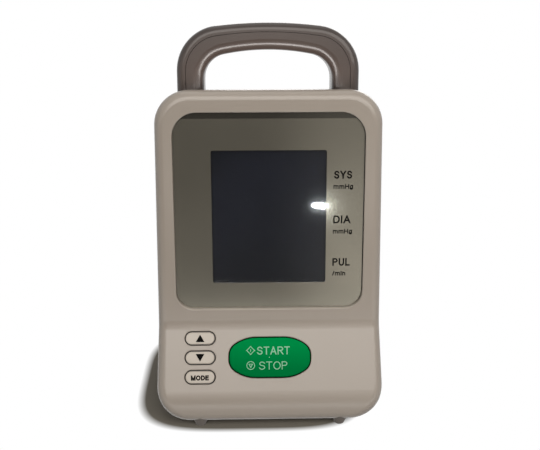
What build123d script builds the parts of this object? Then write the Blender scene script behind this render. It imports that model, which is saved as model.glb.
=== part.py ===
from build123d import *
from math import cos, radians, sin, tan
import os

os.makedirs("parts", exist_ok=True)

# A desktop blood pressure monitor with a carrying handle. Its front faces -Y, +X is the
# viewer's right and +Z is up. The origin is the middle of its footprint, under its feet.

# Casing, seen from the side
depth = 116.0
foot_height = 4.0
crease_height = 57.0
upper_lean = 7.0
lower_lean = 29.0
rear_lean = 10.5
upper_length = 138.0
lower_flat = 38.7
toe_radius = 30.0
crease_radius = 15.0
rear_break = 24.0
rear_break_radius = 40.0
top_fall = 9.9

# Casing, seen from the front
base_half_width = 67.2
side_draft = 0.5
rear_draft = 0.9
top_corner_radius = 20.0
base_corner_radius = 20.0
front_edge_radius = 5.5
rear_edge_radius = 8.0
form_reach = 70.0
headroom = 40.0

# How far a face or edge may lie from the place where it is looked for
on_plane = 0.001
near_rim = 0.1

# Walls and the joint between the two covers
wall = 2.5
parting_depth = 13.0
lip_height = 2.5
lip_gap = 0.1
seat_gap = 0.3

# Display window
window_border = 12.35
window_height = 115.5
window_low = 9.8
window_top_radius = 14.0
window_low_radius = 10.5
window_recess = 2.6
window_rim_radius = 0.6
panel_thickness = 1.2
panel_gap = 0.2
floor_thickness = 2.0
display_width = 66.3
display_height = 78.4
display_low = 25.3
display_corner = 1.2
lens_border = 1.8
lens_gap = 0.05
lens_thickness = 1.6
lcd_border = 5.0
lcd_thickness = 2.8
frame_wall = 3.7
frame_ledge = 1.5
reflector_thickness = 1.0
strip_width = 3.0
strip_length = 64.0

# Circuit boards
board_thickness = 1.6
board_depth = 12.0
main_board_width = 100.0
main_board_low = 8.0
main_board_high = 119.0
board_post_radius = 3.0
board_screw_inset = 3.5
key_board_left = -50.0
key_board_right = 37.0
key_board_high = -2.5
key_board_low = -39.5
key_post_radius = 2.4
key_post_right = 32.5
key_post_inset = 3.8
processor_size = 14.0
processor_place = (8.0, 60.0)
memory_width = 8.0
memory_height = 10.0
memory_place = (28.0, 66.0)
chip_thickness = 2.2
capacitor_radius = 3.2
capacitor_height = 8.0
capacitor_places = [(-14.0, 28.0), (-4.0, 28.0), (-14.0, 40.0)]
buzzer_radius = 6.0
buzzer_height = 5.0
buzzer_place = (28.0, 32.0)
buzzer_hole_radius = 1.0
buzzer_hole_depth = 1.5

# Keys, placed on the leaning panel below the crease
key_travel = 1.0
key_gap = 0.45
key_flange = 1.0
flange_thickness = 1.2
flange_gap = 0.2
key_hole_radius = 0.7
small_key_width = 17.0
small_key_height = 7.1
small_key_x = -41.1
small_key_first = 7.7
small_key_pitch = 11.3
small_key_proud = 1.3
small_key_edge = 0.6
start_key_width = 47.6
start_key_height = 22.8
start_key_drop = 19.2
start_key_flat = 16.0
start_key_shoulder = 22.0
start_key_end = 7.5
start_key_proud = 2.6
start_key_dome = 170.0
start_key_edge = 0.9
stem_radius = 2.0
switch_size = 6.0
switch_height = 3.5
plunger_radius = 1.7
plunger_proud = 1.3
plunger_gap = 0.15
plunger_sunk = 1.0

# Handle
handle_setback = 0.5
handle_depth = 24.0
handle_half_width = 52.3
handle_crown = 174.7
handle_drop = 5.6
handle_corner = 25.5
grip_half_width = 36.8
grip_crown = 159.5
grip_drop = 5.3
grip_corner = 14.0
handle_foot = 129.0
handle_front_radius = 4.0
handle_rear_radius = 7.0
grip_radius = 6.0
seam_inset = 5.4
seam_depth = 9.0
seam_gap = 0.25
handle_wall = 3.2
handle_hollow_foot = 142.0

# Screws and their posts
post_inset = 12.4
post_high = 124.0
post_low = -24.0
front_post_radius = 3.5
rear_post_radius = 4.5
screw_radius = 1.4
screw_head_radius = 2.8
screw_head_height = 2.2
screw_hole_gap = 0.3
screw_shelf = 3.0
screw_grip = 6.5
pilot_gap = 0.1
board_screw_radius = 1.0
board_screw_head_radius = 2.0
board_screw_head_height = 1.4
board_screw_length = 5.0

# Batteries and their bay in the rear cover
cell_radius = 7.1
cell_length = 49.0
cell_nub_radius = 2.7
cell_nub_length = 1.3
cell_pitch = 15.0
cell_count = 4
bay_slack = 1.0
bay_low = 8.0
bay_wall = 1.8
contact_thickness = 0.4
contact_size = 11.0
spring_length = 6.5
spring_base_radius = 4.6
spring_tip_radius = 2.6
door_thickness = 2.3
door_gap = 0.3
door_ledge = 2.8
tab_width = 8.0
tab_spacing = 36.0
tab_reach = 2.5
tab_thickness = 1.4
tab_slot_depth = 4.5
latch_width = 22.0
latch_height = 10.0
latch_slit = 1.0
latch_grooves = 4
latch_groove_pitch = 2.0
latch_groove_depth = 0.5

# Pump, lying along X above the battery bay
pump_y = 20.0
pump_z = 128.0
motor_radius = 12.2
motor_length = 32.0
motor_left = 12.0
head_radius = 13.5
head_length = 26.0
shaft_radius = 1.5
shaft_gap = 0.06
shaft_sunk = 24.0
shaft_end_gap = 1.6
eccentric_radius = 5.0
eccentric_offset = 1.5
eccentric_length = 6.0
chamber_radius = 11.0
chamber_gap = 2.0
cradle_width = 24.0
cradle_front = 3.0
clamp_thickness = 1.6
clamp_width = 8.0
clamp_ear = 7.0
clamp_ear_thickness = 2.0

# Air line
nozzle_radius = 1.5
nozzle_length = 6.0
tube_bore_gap = 0.08
tube_wall = 1.2
tube_bore = 0.8
manifold_x = -40.0
manifold_size = 10.0
valve_size = 14.0
valve_height = 20.0
valve_rise = 20.0
core_radius = 2.5
core_gap = 0.08
core_length = 12.0
core_travel = 1.0
core_seat = 2.5
sensor_size = 12.0
sensor_height = 5.0
sensor_bend_y = 4.0
socket_y = 10.0
socket_z = 62.0
socket_bore_radius = 3.0
socket_bore_length = 12.0
socket_wall = 3.0
socket_flange = 2.0
socket_proud = 0.6
socket_length = 18.0
tube_drop = 18.0
bend_share = 0.45

# Mains adapter socket
jack_y = 10.0
jack_z = 45.0
jack_bore_radius = 2.9
jack_bore_length = 9.5
jack_pin_radius = 1.0
jack_wall = 1.7
jack_body = 11.0
jack_length = 14.0
jack_proud = 0.4

# Feet
foot_x = 41.4
foot_front_setback = 6.2
foot_rear_setback = 12.0
foot_top_radius = 4.4
foot_tip_radius = 2.8
foot_tip_edge = 0.75
foot_sunk = 3.0

# Points and planes worked out from the sizes above
lower_sine = sin(radians(lower_lean))
lower_cosine = cos(radians(lower_lean))
toe_y = -depth / 2
rear_y = depth / 2
crease_y = toe_y + lower_flat * lower_sine + toe_radius * (1 - lower_cosine)
toe_z = crease_height - lower_flat * lower_cosine - toe_radius * lower_sine
top_front_y = crease_y + upper_length * sin(radians(upper_lean))
top_front_z = crease_height + upper_length * cos(radians(upper_lean))
above = top_front_z + headroom

upper = Plane(
    origin=(0, crease_y, crease_height),
    x_dir=(1, 0, 0),
    z_dir=(0, -cos(radians(upper_lean)), sin(radians(upper_lean))),
)
lower = Plane(
    origin=(0, crease_y, crease_height),
    x_dir=(1, 0, 0),
    z_dir=(0, -lower_cosine, lower_sine),
)
rear = Plane(
    origin=(0, rear_y, rear_break),
    x_dir=(-1, 0, 0),
    z_dir=(0, cos(radians(rear_lean)), sin(radians(rear_lean))),
)
parting = upper.offset(-parting_depth)


def top_height(y):
    """The top of the casing falls towards the back."""
    return top_front_z - (y - top_front_y) * tan(radians(top_fall))


def half_width(y, z):
    """The casing narrows a little upwards and backwards."""
    backwards = (y + form_reach) * tan(radians(rear_draft))
    upwards = (z - foot_height) * tan(radians(side_draft))
    return base_half_width - backwards - upwards


def edge_loop(faces):
    """Edges round a patch of faces, without those between two of them."""
    edges = ShapeList(edge for face in faces for edge in face.edges())
    return ShapeList(e for e in edges if sum(e.is_same(other) for other in edges) == 1)


def faces_across(form, forwards):
    """The casing's faces that run straight across it, at its front or at its rear."""
    straight = form.faces().filter_by(
        lambda face: abs(face.normal_at().X) < on_plane and abs(face.center().X) < on_plane
    )
    return straight.filter_by(lambda face: forwards * face.normal_at().Y < -0.5)


def casing_form(inset):
    """The whole casing as one solid, with every face moved in by the inset."""
    base_z = foot_height + inset
    with BuildPart() as form:
        for y in (-form_reach, form_reach):
            top_z = top_height(y) - inset / cos(radians(top_fall))
            low = half_width(y, foot_height) - inset
            high = half_width(y, top_z) - inset
            with BuildSketch(Plane.XZ.offset(-y)) as outline:
                with BuildLine():
                    Polyline((-low, base_z), (low, base_z), (high, top_z), (-high, top_z), close=True)
                make_face()
                corners = outline.vertices().group_by(Axis.Z)
                fillet(corners[0], base_corner_radius - inset)
                fillet(corners[-1], top_corner_radius - inset)
        loft(ruled=True)
        with BuildSketch(Plane.YZ, mode=Mode.PRIVATE) as side:
            with BuildLine():
                Line((toe_y, 0), (toe_y, toe_z))
                toe = JernArc((toe_y, toe_z), (0, 1), toe_radius, -lower_lean)
                Polyline(
                    toe @ 1,
                    (crease_y, crease_height),
                    (crease_y + (above - crease_height) * tan(radians(upper_lean)), above),
                    (rear_y - (above - rear_break) * tan(radians(rear_lean)), above),
                    (rear_y, rear_break),
                    (rear_y, 0),
                    (toe_y, 0),
                )
            make_face()
            fillet(side.vertices().sort_by_distance((crease_y, crease_height))[0], crease_radius)
            fillet(side.vertices().sort_by_distance((rear_y, rear_break))[0], rear_break_radius)
            if inset:
                offset(amount=-inset, kind=Kind.INTERSECTION)
        extrude(side.sketch, amount=base_half_width * 2, both=True, mode=Mode.INTERSECT)
        fillet(edge_loop(faces_across(form, 1)), front_edge_radius - inset)
        fillet(edge_loop(faces_across(form, -1)), rear_edge_radius - inset)
    return form.part


outer_form = casing_form(0)
inner_form = casing_form(wall)
rebate_form = casing_form(wall / 2)
lip_form = casing_form(wall / 2 + lip_gap)


def slab(plane, thickness):
    """A wide slab behind a plane, for cutting bands out of the casing."""
    with BuildPart() as block:
        with BuildSketch(plane):
            Rectangle(base_half_width * 4, above * 3)
        extrude(amount=-thickness)
    return block.part


def edges_on(form, plane, centre, reach):
    """Edges on a plane's surface, no further from a point of it than a reach in X and Y."""

    def near(edge):
        place = plane.to_local_coords(edge.center()) - Vector(*centre)
        return abs(place.Z) < on_plane and abs(place.X) < reach[0] and abs(place.Y) < reach[1]

    return form.edges().filter_by(near)


# Window and display, in the upper face's own plane
window_width = 2 * (base_half_width - window_border)
window_middle = window_low + window_height / 2
display_middle = display_low + display_height / 2
panel_back = window_recess + panel_thickness
floor_back = panel_back + floor_thickness
lcd_width = display_width + 2 * lcd_border
lcd_height = display_height + 2 * lcd_border
lcd_back = floor_back + lcd_thickness
main_board_height = main_board_high - main_board_low
main_board_middle = (main_board_high + main_board_low) / 2
main_board_back = board_depth + board_thickness
board_posts = [
    (side * (main_board_width / 2 - board_screw_inset), y)
    for side in (-1, 1)
    for y in (main_board_low + 2 * board_screw_inset, main_board_high - board_screw_inset)
]

# Keys, in the lower face's own plane
small_key_drops = [small_key_first + i * small_key_pitch for i in range(3)]
key_board_width = key_board_right - key_board_left
key_board_height = key_board_high - key_board_low
key_board_centre = ((key_board_left + key_board_right) / 2, (key_board_high + key_board_low) / 2)
key_post_left = (small_key_x + small_key_width / 2 - start_key_width / 2) / 2
key_posts = [
    (x, y)
    for x in (key_post_left, key_post_right)
    for y in (key_board_high - key_post_inset, key_board_low + key_post_inset)
]
switch_top = board_depth - switch_height
stem_end = switch_top - plunger_proud
key_places = {
    "up": (small_key_x, -small_key_drops[0]),
    "down": (small_key_x, -small_key_drops[1]),
    "mode": (small_key_x, -small_key_drops[2]),
    "start_stop": (0, -start_key_drop),
}

# Posts that hold the two covers together
post_x = base_half_width - post_inset
case_posts = [(side * post_x, y) for side in (-1, 1) for y in (post_low, post_high)]


def window_outline(margin):
    """The window's outline drawn out by a margin. Its top corners are the rounder ones."""
    with BuildSketch() as outline:
        Rectangle(window_width + 2 * margin, window_height + 2 * margin)
        fillet(outline.vertices().group_by(Axis.Y)[0], window_low_radius + margin)
        fillet(outline.vertices().group_by(Axis.Y)[-1], window_top_radius + margin)
    return outline.sketch


def start_key_outline(margin):
    """Barrel shape: flat top and bottom, wide shoulders and small rounded ends."""
    half_height = start_key_height / 2 + margin
    half_width_here = start_key_width / 2 + margin
    shoulder = start_key_shoulder + margin
    end = start_key_end + margin
    end_x = half_width_here - end
    turn_sine = (end_x - start_key_flat / 2) / (shoulder - end)
    turn_cosine = (1 - turn_sine**2) ** 0.5
    end_y = half_height - shoulder + (shoulder - end) * turn_cosine
    shoulder_y = half_height - shoulder
    mid_sine = turn_sine / 2
    mid_cosine = (1 - mid_sine**2) ** 0.5
    join = (end_x + end * turn_sine, end_y + end * turn_cosine)
    middle = (start_key_flat / 2 + shoulder * mid_sine, shoulder_y + shoulder * mid_cosine)
    with BuildSketch() as outline:
        with BuildLine():
            Line((0, half_height), (start_key_flat / 2, half_height))
            ThreePointArc((start_key_flat / 2, half_height), middle, join)
            RadiusArc(join, (half_width_here, end_y), end)
            Line((half_width_here, end_y), (half_width_here, 0))
            mirror(about=Plane.XZ)
            mirror(about=Plane.YZ)
        make_face()
    return outline.sketch


with BuildPart() as front_posts:
    with BuildSketch(parting):
        with Locations(*case_posts):
            Circle(front_post_radius)
    extrude(amount=depth)
    with BuildSketch(upper.offset(-wall)):
        with Locations(*board_posts):
            Circle(board_post_radius)
    extrude(amount=-(board_depth - wall))
    with BuildSketch(lower.offset(-wall / 2)):
        with Locations(*key_posts):
            Circle(key_post_radius)
    extrude(amount=-(board_depth - wall / 2))
    add(inner_form, mode=Mode.INTERSECT)

with BuildPart() as front_case:
    add(outer_form)
    split(bisect_by=parting, keep=Keep.TOP)
    add(inner_form, mode=Mode.SUBTRACT)
    rebate = slab(parting.offset(lip_height + seat_gap), lip_height + 2 * seat_gap)
    add(rebate_form & rebate, mode=Mode.SUBTRACT)
    with BuildSketch(upper.offset(-wall / 2)):
        with Locations((0, window_middle)):
            add(window_outline(wall))
    extrude(amount=-(floor_back - wall / 2))
    add(front_posts.part)
    with BuildSketch(upper):
        with Locations((0, window_middle)):
            add(window_outline(0))
    extrude(amount=-panel_back, mode=Mode.SUBTRACT)
    window_reach = ((window_width + wall) / 2, (window_height + wall) / 2)
    fillet(edges_on(front_case, upper, (0, window_middle), window_reach), window_rim_radius)
    with BuildSketch(upper):
        with Locations((0, display_middle)):
            Rectangle(
                display_width + 2 * (lens_border + seat_gap),
                display_height + 2 * (lens_border + seat_gap),
            )
    extrude(amount=-floor_back, mode=Mode.SUBTRACT)
    with BuildSketch(lower.offset(wall)):
        with Locations(*(key_places[name] for name in ("up", "down", "mode"))):
            SlotOverall(small_key_width + 2 * key_gap, small_key_height + 2 * key_gap)
        with Locations(key_places["start_stop"]):
            add(start_key_outline(key_gap))
    extrude(amount=-3 * wall, mode=Mode.SUBTRACT)
    keys_reach = (small_key_width - small_key_x, lower_flat / 2)
    fillet(edges_on(front_case, lower, key_places["start_stop"], keys_reach), key_hole_radius)
    with BuildSketch(parting):
        with Locations(*case_posts):
            Circle(screw_radius + pilot_gap)
    extrude(amount=parting_depth - screw_grip + seat_gap, mode=Mode.SUBTRACT)
    with BuildSketch(upper.offset(-board_depth)):
        with Locations(*board_posts):
            Circle(board_screw_radius + pilot_gap)
    extrude(amount=board_screw_length, mode=Mode.SUBTRACT)
    with BuildSketch(lower.offset(-board_depth)):
        with Locations(*key_posts):
            Circle(board_screw_radius + pilot_gap)
    extrude(amount=board_screw_length, mode=Mode.SUBTRACT)

with BuildPart() as display_panel:
    with BuildSketch(upper.offset(-panel_back)):
        with Locations((0, window_middle)):
            add(window_outline(-panel_gap))
        with Locations((0, display_middle)):
            RectangleRounded(display_width, display_height, display_corner, mode=Mode.SUBTRACT)
    extrude(amount=panel_thickness)

# The lens has a flange behind the panel and fills the panel's opening, flush with its face
with BuildPart() as display_lens:
    with BuildSketch(upper.offset(-panel_back)):
        with Locations((0, display_middle)):
            Rectangle(display_width + 2 * lens_border, display_height + 2 * lens_border)
    extrude(amount=-lens_thickness)
    with BuildSketch(upper.offset(-panel_back)):
        with Locations((0, display_middle)):
            RectangleRounded(
                display_width - 2 * lens_gap,
                display_height - 2 * lens_gap,
                display_corner - lens_gap,
            )
    extrude(amount=panel_thickness)

with BuildPart() as lcd_glass:
    with BuildSketch(upper.offset(-floor_back)):
        with Locations((0, display_middle)):
            Rectangle(lcd_width, lcd_height)
    extrude(amount=-lcd_thickness)

with BuildPart() as lcd_reflector:
    with BuildSketch(upper.offset(-lcd_back)):
        with Locations((0, display_middle)):
            Rectangle(display_width, display_height)
    extrude(amount=-reflector_thickness)

# The frame holds the glass by ledges at its two sides, so the contact strips stay free
with BuildPart() as lcd_frame:
    with BuildSketch(upper.offset(-floor_back)):
        with Locations((0, display_middle)):
            Rectangle(lcd_width + 2 * frame_wall, lcd_height + 2 * frame_wall)
    extrude(amount=-(board_depth - floor_back))
    with BuildSketch(upper.offset(-floor_back)):
        with Locations((0, display_middle)):
            Rectangle(lcd_width + seat_gap, lcd_height + seat_gap)
    extrude(amount=-lcd_thickness, mode=Mode.SUBTRACT)
    with BuildSketch(upper.offset(-lcd_back)):
        with Locations((0, display_middle)):
            Rectangle(display_width + seat_gap, lcd_height + seat_gap)
    extrude(amount=-board_depth, mode=Mode.SUBTRACT)
    with BuildSketch(upper.offset(-lcd_back - frame_ledge)):
        with Locations((0, display_middle)):
            Rectangle(lcd_width + seat_gap, lcd_height + seat_gap)
    extrude(amount=-board_depth, mode=Mode.SUBTRACT)

strip_offset = lcd_height / 2 - strip_width
with BuildPart() as elastomer_strips:
    with BuildSketch(upper.offset(-lcd_back)):
        with Locations((0, display_middle - strip_offset), (0, display_middle + strip_offset)):
            Rectangle(strip_length, strip_width)
    extrude(amount=-(board_depth - lcd_back))

with BuildPart() as main_board:
    with BuildSketch(upper.offset(-board_depth)):
        with Locations((0, main_board_middle)):
            Rectangle(main_board_width, main_board_height)
        with Locations(*board_posts):
            Circle(board_screw_radius + pilot_gap, mode=Mode.SUBTRACT)
    extrude(amount=-board_thickness)

with BuildPart() as key_board:
    with BuildSketch(lower.offset(-board_depth)):
        with Locations(key_board_centre):
            Rectangle(key_board_width, key_board_height)
        with Locations(*key_posts):
            Circle(board_screw_radius + pilot_gap, mode=Mode.SUBTRACT)
    extrude(amount=-board_thickness)

# Chips, capacitors and the buzzer stand on the main board's back
board_back = upper.offset(-main_board_back)
with BuildPart() as processor_chips:
    with BuildSketch(board_back):
        with Locations(processor_place):
            Rectangle(processor_size, processor_size)
        with Locations(memory_place):
            Rectangle(memory_width, memory_height)
    extrude(amount=-chip_thickness)

with BuildPart() as board_capacitors:
    with BuildSketch(board_back):
        with Locations(*capacitor_places):
            Circle(capacitor_radius)
    extrude(amount=-capacitor_height)

with BuildPart() as buzzer:
    with BuildSketch(board_back):
        with Locations(buzzer_place):
            Circle(buzzer_radius)
    extrude(amount=-buzzer_height)
    with BuildSketch(board_back.offset(-buzzer_height)):
        with Locations(buzzer_place):
            Circle(buzzer_hole_radius)
    extrude(amount=buzzer_hole_depth, mode=Mode.SUBTRACT)

# Four switches on the key board, each with a plunger that its key presses
with BuildPart() as switch_housings:
    with BuildSketch(lower.offset(-board_depth)):
        with Locations(*key_places.values()):
            Rectangle(switch_size, switch_size)
    extrude(amount=switch_height)
    with BuildSketch(lower.offset(-switch_top)):
        with Locations(*key_places.values()):
            Circle(plunger_radius + plunger_gap)
    extrude(amount=-(plunger_sunk + key_travel + seat_gap), mode=Mode.SUBTRACT)

plungers = {}
for name, place in key_places.items():
    with BuildPart() as plunger:
        with BuildSketch(lower.offset(-stem_end)):
            with Locations(place):
                Circle(plunger_radius)
        extrude(amount=-(plunger_proud + plunger_sunk))
    plunger.part.label = name + "_plunger"
    plungers[name] = plunger.part

flange_front = wall + flange_gap
keys = {}
for name in ("up", "down", "mode"):
    with BuildPart() as key:
        with BuildSketch(lower.offset(-flange_front)):
            with Locations(key_places[name]):
                SlotOverall(small_key_width, small_key_height)
        extrude(amount=flange_front + small_key_proud)
        fillet(key.faces().sort_by(Axis(lower.origin, lower.z_dir))[-1].edges(), small_key_edge)
        with BuildSketch(lower.offset(-flange_front)):
            with Locations(key_places[name]):
                SlotOverall(small_key_width + 2 * key_flange, small_key_height + 2 * key_flange)
        extrude(amount=-flange_thickness)
        with BuildSketch(lower.offset(-flange_front - flange_thickness)):
            with Locations(key_places[name]):
                Circle(stem_radius)
        extrude(amount=-(stem_end - flange_front - flange_thickness))
    key.part.label = name + "_button"
    keys[name] = key.part

# The large key has a slightly domed top
dome_centre = lower.offset(start_key_proud - start_key_dome).location * Location(key_places["start_stop"])
with BuildPart() as start_stop_button:
    with BuildSketch(lower.offset(-flange_front)):
        with Locations(key_places["start_stop"]):
            add(start_key_outline(0))
    extrude(amount=flange_front + start_key_proud)
    with Locations(dome_centre):
        Sphere(start_key_dome, mode=Mode.INTERSECT)
    fillet(start_stop_button.faces().sort_by(Axis(lower.origin, lower.z_dir))[-1].edges(), start_key_edge)
    with BuildSketch(lower.offset(-flange_front)):
        with Locations(key_places["start_stop"]):
            add(start_key_outline(key_flange))
    extrude(amount=-flange_thickness)
    with BuildSketch(lower.offset(-flange_front - flange_thickness)):
        with Locations(key_places["start_stop"]):
            Circle(stem_radius)
    extrude(amount=-(stem_end - flange_front - flange_thickness))
keys["start_stop"] = start_stop_button.part
keys["start_stop"].label = "start_stop_button"


def arch(half_width_here, crown, drop, corner, foot):
    """An arch standing on its foot, with a gently crowned top and round corners."""
    with BuildSketch() as outline:
        with BuildLine():
            Polyline(
                (-half_width_here, crown - drop),
                (-half_width_here, foot),
                (half_width_here, foot),
                (half_width_here, crown - drop),
            )
            ThreePointArc(
                (half_width_here, crown - drop),
                (0, crown),
                (-half_width_here, crown - drop),
            )
        make_face()
        fillet(outline.vertices().group_by(Axis.Y)[-1], corner)
    return outline.sketch


def handle_arch(margin, foot):
    """The handle's outer arch, drawn in by a margin."""
    return arch(
        handle_half_width - margin, handle_crown - margin, handle_drop, handle_corner - margin, foot
    )


def grip_arch(margin, foot):
    """The opening under the handle, drawn out by a margin."""
    return arch(grip_half_width + margin, grip_crown + margin, grip_drop, grip_corner + margin, foot)


handle_front = parting_depth + handle_setback
handle_face = upper.offset(-handle_front)
handle_back = upper.offset(-handle_front - handle_depth)


def rim(form, plane):
    """Edges of the form's face on a plane, without those at the handle's foot."""
    face = form.faces().filter_by(lambda f: abs(plane.to_local_coords(f.center()).Z) < on_plane)
    return face.edges().filter_by(
        lambda e: plane.to_local_coords(e.center()).Y > handle_foot + handle_wall
    )


with BuildPart() as handle_form:
    with BuildSketch(handle_face):
        add(handle_arch(0, handle_foot))
    extrude(amount=-handle_depth)
    fillet(rim(handle_form, handle_face), handle_front_radius)
    fillet(rim(handle_form, handle_back), handle_rear_radius)
    with BuildSketch(handle_face):
        add(grip_arch(0, handle_foot - handle_wall))
    extrude(amount=-handle_depth, mode=Mode.SUBTRACT)
    grip_rims = [
        edge
        for plane in (handle_face, handle_back)
        for edge in rim(handle_form, plane)
        if abs(edge.center().X) < grip_half_width + near_rim
        and plane.to_local_coords(edge.center()).Y < grip_crown + near_rim
    ]
    fillet(grip_rims, grip_radius)

with BuildPart() as handle_hollow:
    with BuildSketch(upper.offset(-handle_front - seam_depth)):
        add(handle_arch(handle_wall, handle_hollow_foot))
        add(grip_arch(handle_wall, handle_hollow_foot - handle_wall), mode=Mode.SUBTRACT)
    extrude(amount=-(handle_depth - seam_depth - handle_wall))
    with BuildSketch(upper.offset(-handle_front - handle_wall)):
        add(handle_arch(seam_inset + handle_wall, handle_hollow_foot))
        add(grip_arch(handle_wall, handle_hollow_foot - handle_wall), mode=Mode.SUBTRACT)
    extrude(amount=-(seam_depth - handle_wall))

with BuildPart() as cover_space:
    with BuildSketch(handle_face.offset(wall)):
        add(handle_arch(seam_inset - seam_gap, handle_foot - handle_wall))
    extrude(amount=-(seam_depth + wall))

# The front half of the handle lies in the rear half's rim and stands on the casing's top
with BuildPart() as handle_cover:
    with BuildSketch(handle_face.offset(wall)):
        add(handle_arch(seam_inset, handle_foot - handle_wall))
    extrude(amount=-(seam_depth + wall))
    add(handle_form.part, mode=Mode.INTERSECT)
    add(handle_hollow.part, mode=Mode.SUBTRACT)
    add(outer_form, mode=Mode.SUBTRACT)

# Battery bay, in the rear slope's own plane
bay_width = cell_length + cell_nub_length + spring_length + 2 * contact_thickness
bay_height = cell_count * cell_pitch + bay_slack
bay_middle = bay_low + bay_height / 2
bay_depth = door_thickness + door_gap + 2 * cell_radius + seat_gap
door_width = bay_width + 2 * door_ledge
door_height = bay_height + 2 * door_ledge
door_low = bay_middle - door_height / 2
box_width = door_width + 2 * bay_wall
box_height = door_height + 2 * bay_wall
tab_places = [(side * tab_spacing / 2, door_low) for side in (-1, 1)]
valve_back_y = pump_y + valve_size / 2
valve_low_z = pump_z + valve_rise
valve_middle_z = valve_low_z + valve_height / 2
cell_rows = [bay_low + (bay_slack + cell_pitch) / 2 + i * cell_pitch for i in range(cell_count)]

with BuildPart() as rear_structure:
    with BuildSketch(parting):
        with Locations(*case_posts):
            Circle(rear_post_radius)
    extrude(amount=-depth)
    with BuildSketch(rear):
        with Locations((0, bay_middle)):
            Rectangle(box_width, box_height)
    extrude(amount=-(bay_depth + bay_wall))
    with BuildSketch(Plane.XZ.offset(-valve_back_y)):
        with Locations((manifold_x, valve_middle_z)):
            Rectangle(valve_size, valve_height - 2 * bay_wall)
    extrude(amount=-depth)
    add(inner_form, mode=Mode.INTERSECT)

with BuildPart() as rear_case:
    add(outer_form)
    split(bisect_by=parting, keep=Keep.BOTTOM)
    add(inner_form, mode=Mode.SUBTRACT)
    add((lip_form - inner_form) & slab(parting.offset(lip_height), lip_height))
    add(rear_structure.part)
    add(handle_form.part - cover_space.part)
    add(handle_hollow.part, mode=Mode.SUBTRACT)
    with BuildSketch(rear.offset(wall)):
        with Locations((0, bay_middle)):
            Rectangle(door_width, door_height)
    extrude(amount=-2 * wall, mode=Mode.SUBTRACT)
    with BuildSketch(rear):
        with Locations((0, bay_middle)):
            Rectangle(bay_width, bay_height)
    extrude(amount=-bay_depth, mode=Mode.SUBTRACT)
    with BuildSketch(rear.offset(-wall)):
        with Locations(*tab_places):
            Rectangle(tab_width + 2 * door_gap, 2 * (tab_reach + door_gap))
    extrude(amount=-tab_slot_depth, mode=Mode.SUBTRACT)
    with BuildSketch(upper.offset(-parting_depth - screw_shelf)):
        with Locations(*case_posts):
            Circle(screw_head_radius + screw_hole_gap)
    extrude(amount=-depth, mode=Mode.SUBTRACT)
    with BuildSketch(parting):
        with Locations(*case_posts):
            Circle(screw_radius + screw_hole_gap)
    extrude(amount=-screw_shelf, mode=Mode.SUBTRACT)
    with BuildSketch(Plane.YZ.offset(-base_half_width)):
        with Locations((socket_y, socket_z)):
            Circle(socket_bore_radius + socket_wall + seat_gap / 2)
    extrude(amount=2 * wall + socket_flange, mode=Mode.SUBTRACT)
    with BuildSketch(Plane.YZ.offset(base_half_width)):
        with Locations((jack_y, jack_z)):
            Circle(jack_bore_radius + jack_wall + seat_gap / 2)
    extrude(amount=-(2 * wall + socket_flange), mode=Mode.SUBTRACT)

# The door turns about its lower outer edge, on two tabs that reach behind the casing wall
door_edge = door_low + door_gap
with BuildPart() as battery_door:
    with BuildSketch(rear):
        with Locations((0, bay_middle)):
            Rectangle(door_width - 2 * door_gap, door_height - 2 * door_gap)
    extrude(amount=-door_thickness)
    with BuildSketch(rear.offset(-door_thickness)):
        with Locations(*((x, door_edge + tab_reach / 2) for x, _ in tab_places)):
            Rectangle(tab_width, tab_reach)
    extrude(amount=-(wall + door_gap + tab_thickness - door_thickness))
    with BuildSketch(rear.offset(-wall - door_gap)):
        with Locations(*((x, door_edge) for x, _ in tab_places)):
            Rectangle(tab_width, 2 * tab_reach)
    extrude(amount=-tab_thickness)
    latch_top = bay_middle + door_height / 2 - door_gap
    with BuildSketch(rear):
        with Locations(*((side * latch_width / 2, latch_top - latch_height / 2) for side in (-1, 1))):
            Rectangle(latch_slit, latch_height)
    extrude(amount=-door_thickness, mode=Mode.SUBTRACT)
    with BuildSketch(rear):
        with GridLocations(0, latch_groove_pitch, 1, latch_grooves):
            with Locations((0, latch_top - latch_height / 2)):
                Rectangle(latch_width - 4 * latch_slit, latch_slit)
    extrude(amount=-latch_groove_depth, mode=Mode.SUBTRACT)


def cross_plane(x, y, z, direction=1):
    """A plane square to X, facing +X or -X."""
    return Plane(origin=(x, y, z), x_dir=(0, direction, 0), z_dir=(direction, 0, 0))


# Each cell points the other way from its neighbour, with a plate at its nub and a spring behind
cell_depth = door_thickness + door_gap + cell_radius
nub_x = bay_width / 2 - contact_thickness
cell_x = nub_x - cell_nub_length
spring_x = cell_x - cell_length
cell_middles = [rear.from_local_coords(Vector(0, row, -cell_depth)) for row in cell_rows]
cell_ways = [(middle, 1 if i % 2 else -1) for i, middle in enumerate(cell_middles)]

with BuildPart() as battery_cells:
    for middle, way in cell_ways:
        with BuildSketch(cross_plane(way * spring_x, middle.Y, middle.Z, way)):
            Circle(cell_radius)
        extrude(amount=cell_length)
        with BuildSketch(cross_plane(way * cell_x, middle.Y, middle.Z, way)):
            Circle(cell_nub_radius)
        extrude(amount=cell_nub_length)

with BuildPart() as battery_plates:
    for middle, way in cell_ways:
        with BuildSketch(cross_plane(way * nub_x, middle.Y, middle.Z, way)):
            Rectangle(contact_size, contact_size)
        extrude(amount=contact_thickness)

with BuildPart() as battery_springs:
    for middle, way in cell_ways:
        with BuildSketch(cross_plane(-way * nub_x, middle.Y, middle.Z, -way)):
            Rectangle(contact_size, contact_size)
        extrude(amount=contact_thickness)
        with BuildSketch(cross_plane(-way * nub_x, middle.Y, middle.Z, way)):
            Circle(spring_base_radius)
        with BuildSketch(cross_plane(way * spring_x, middle.Y, middle.Z, way)):
            Circle(spring_tip_radius)
        loft()

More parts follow.
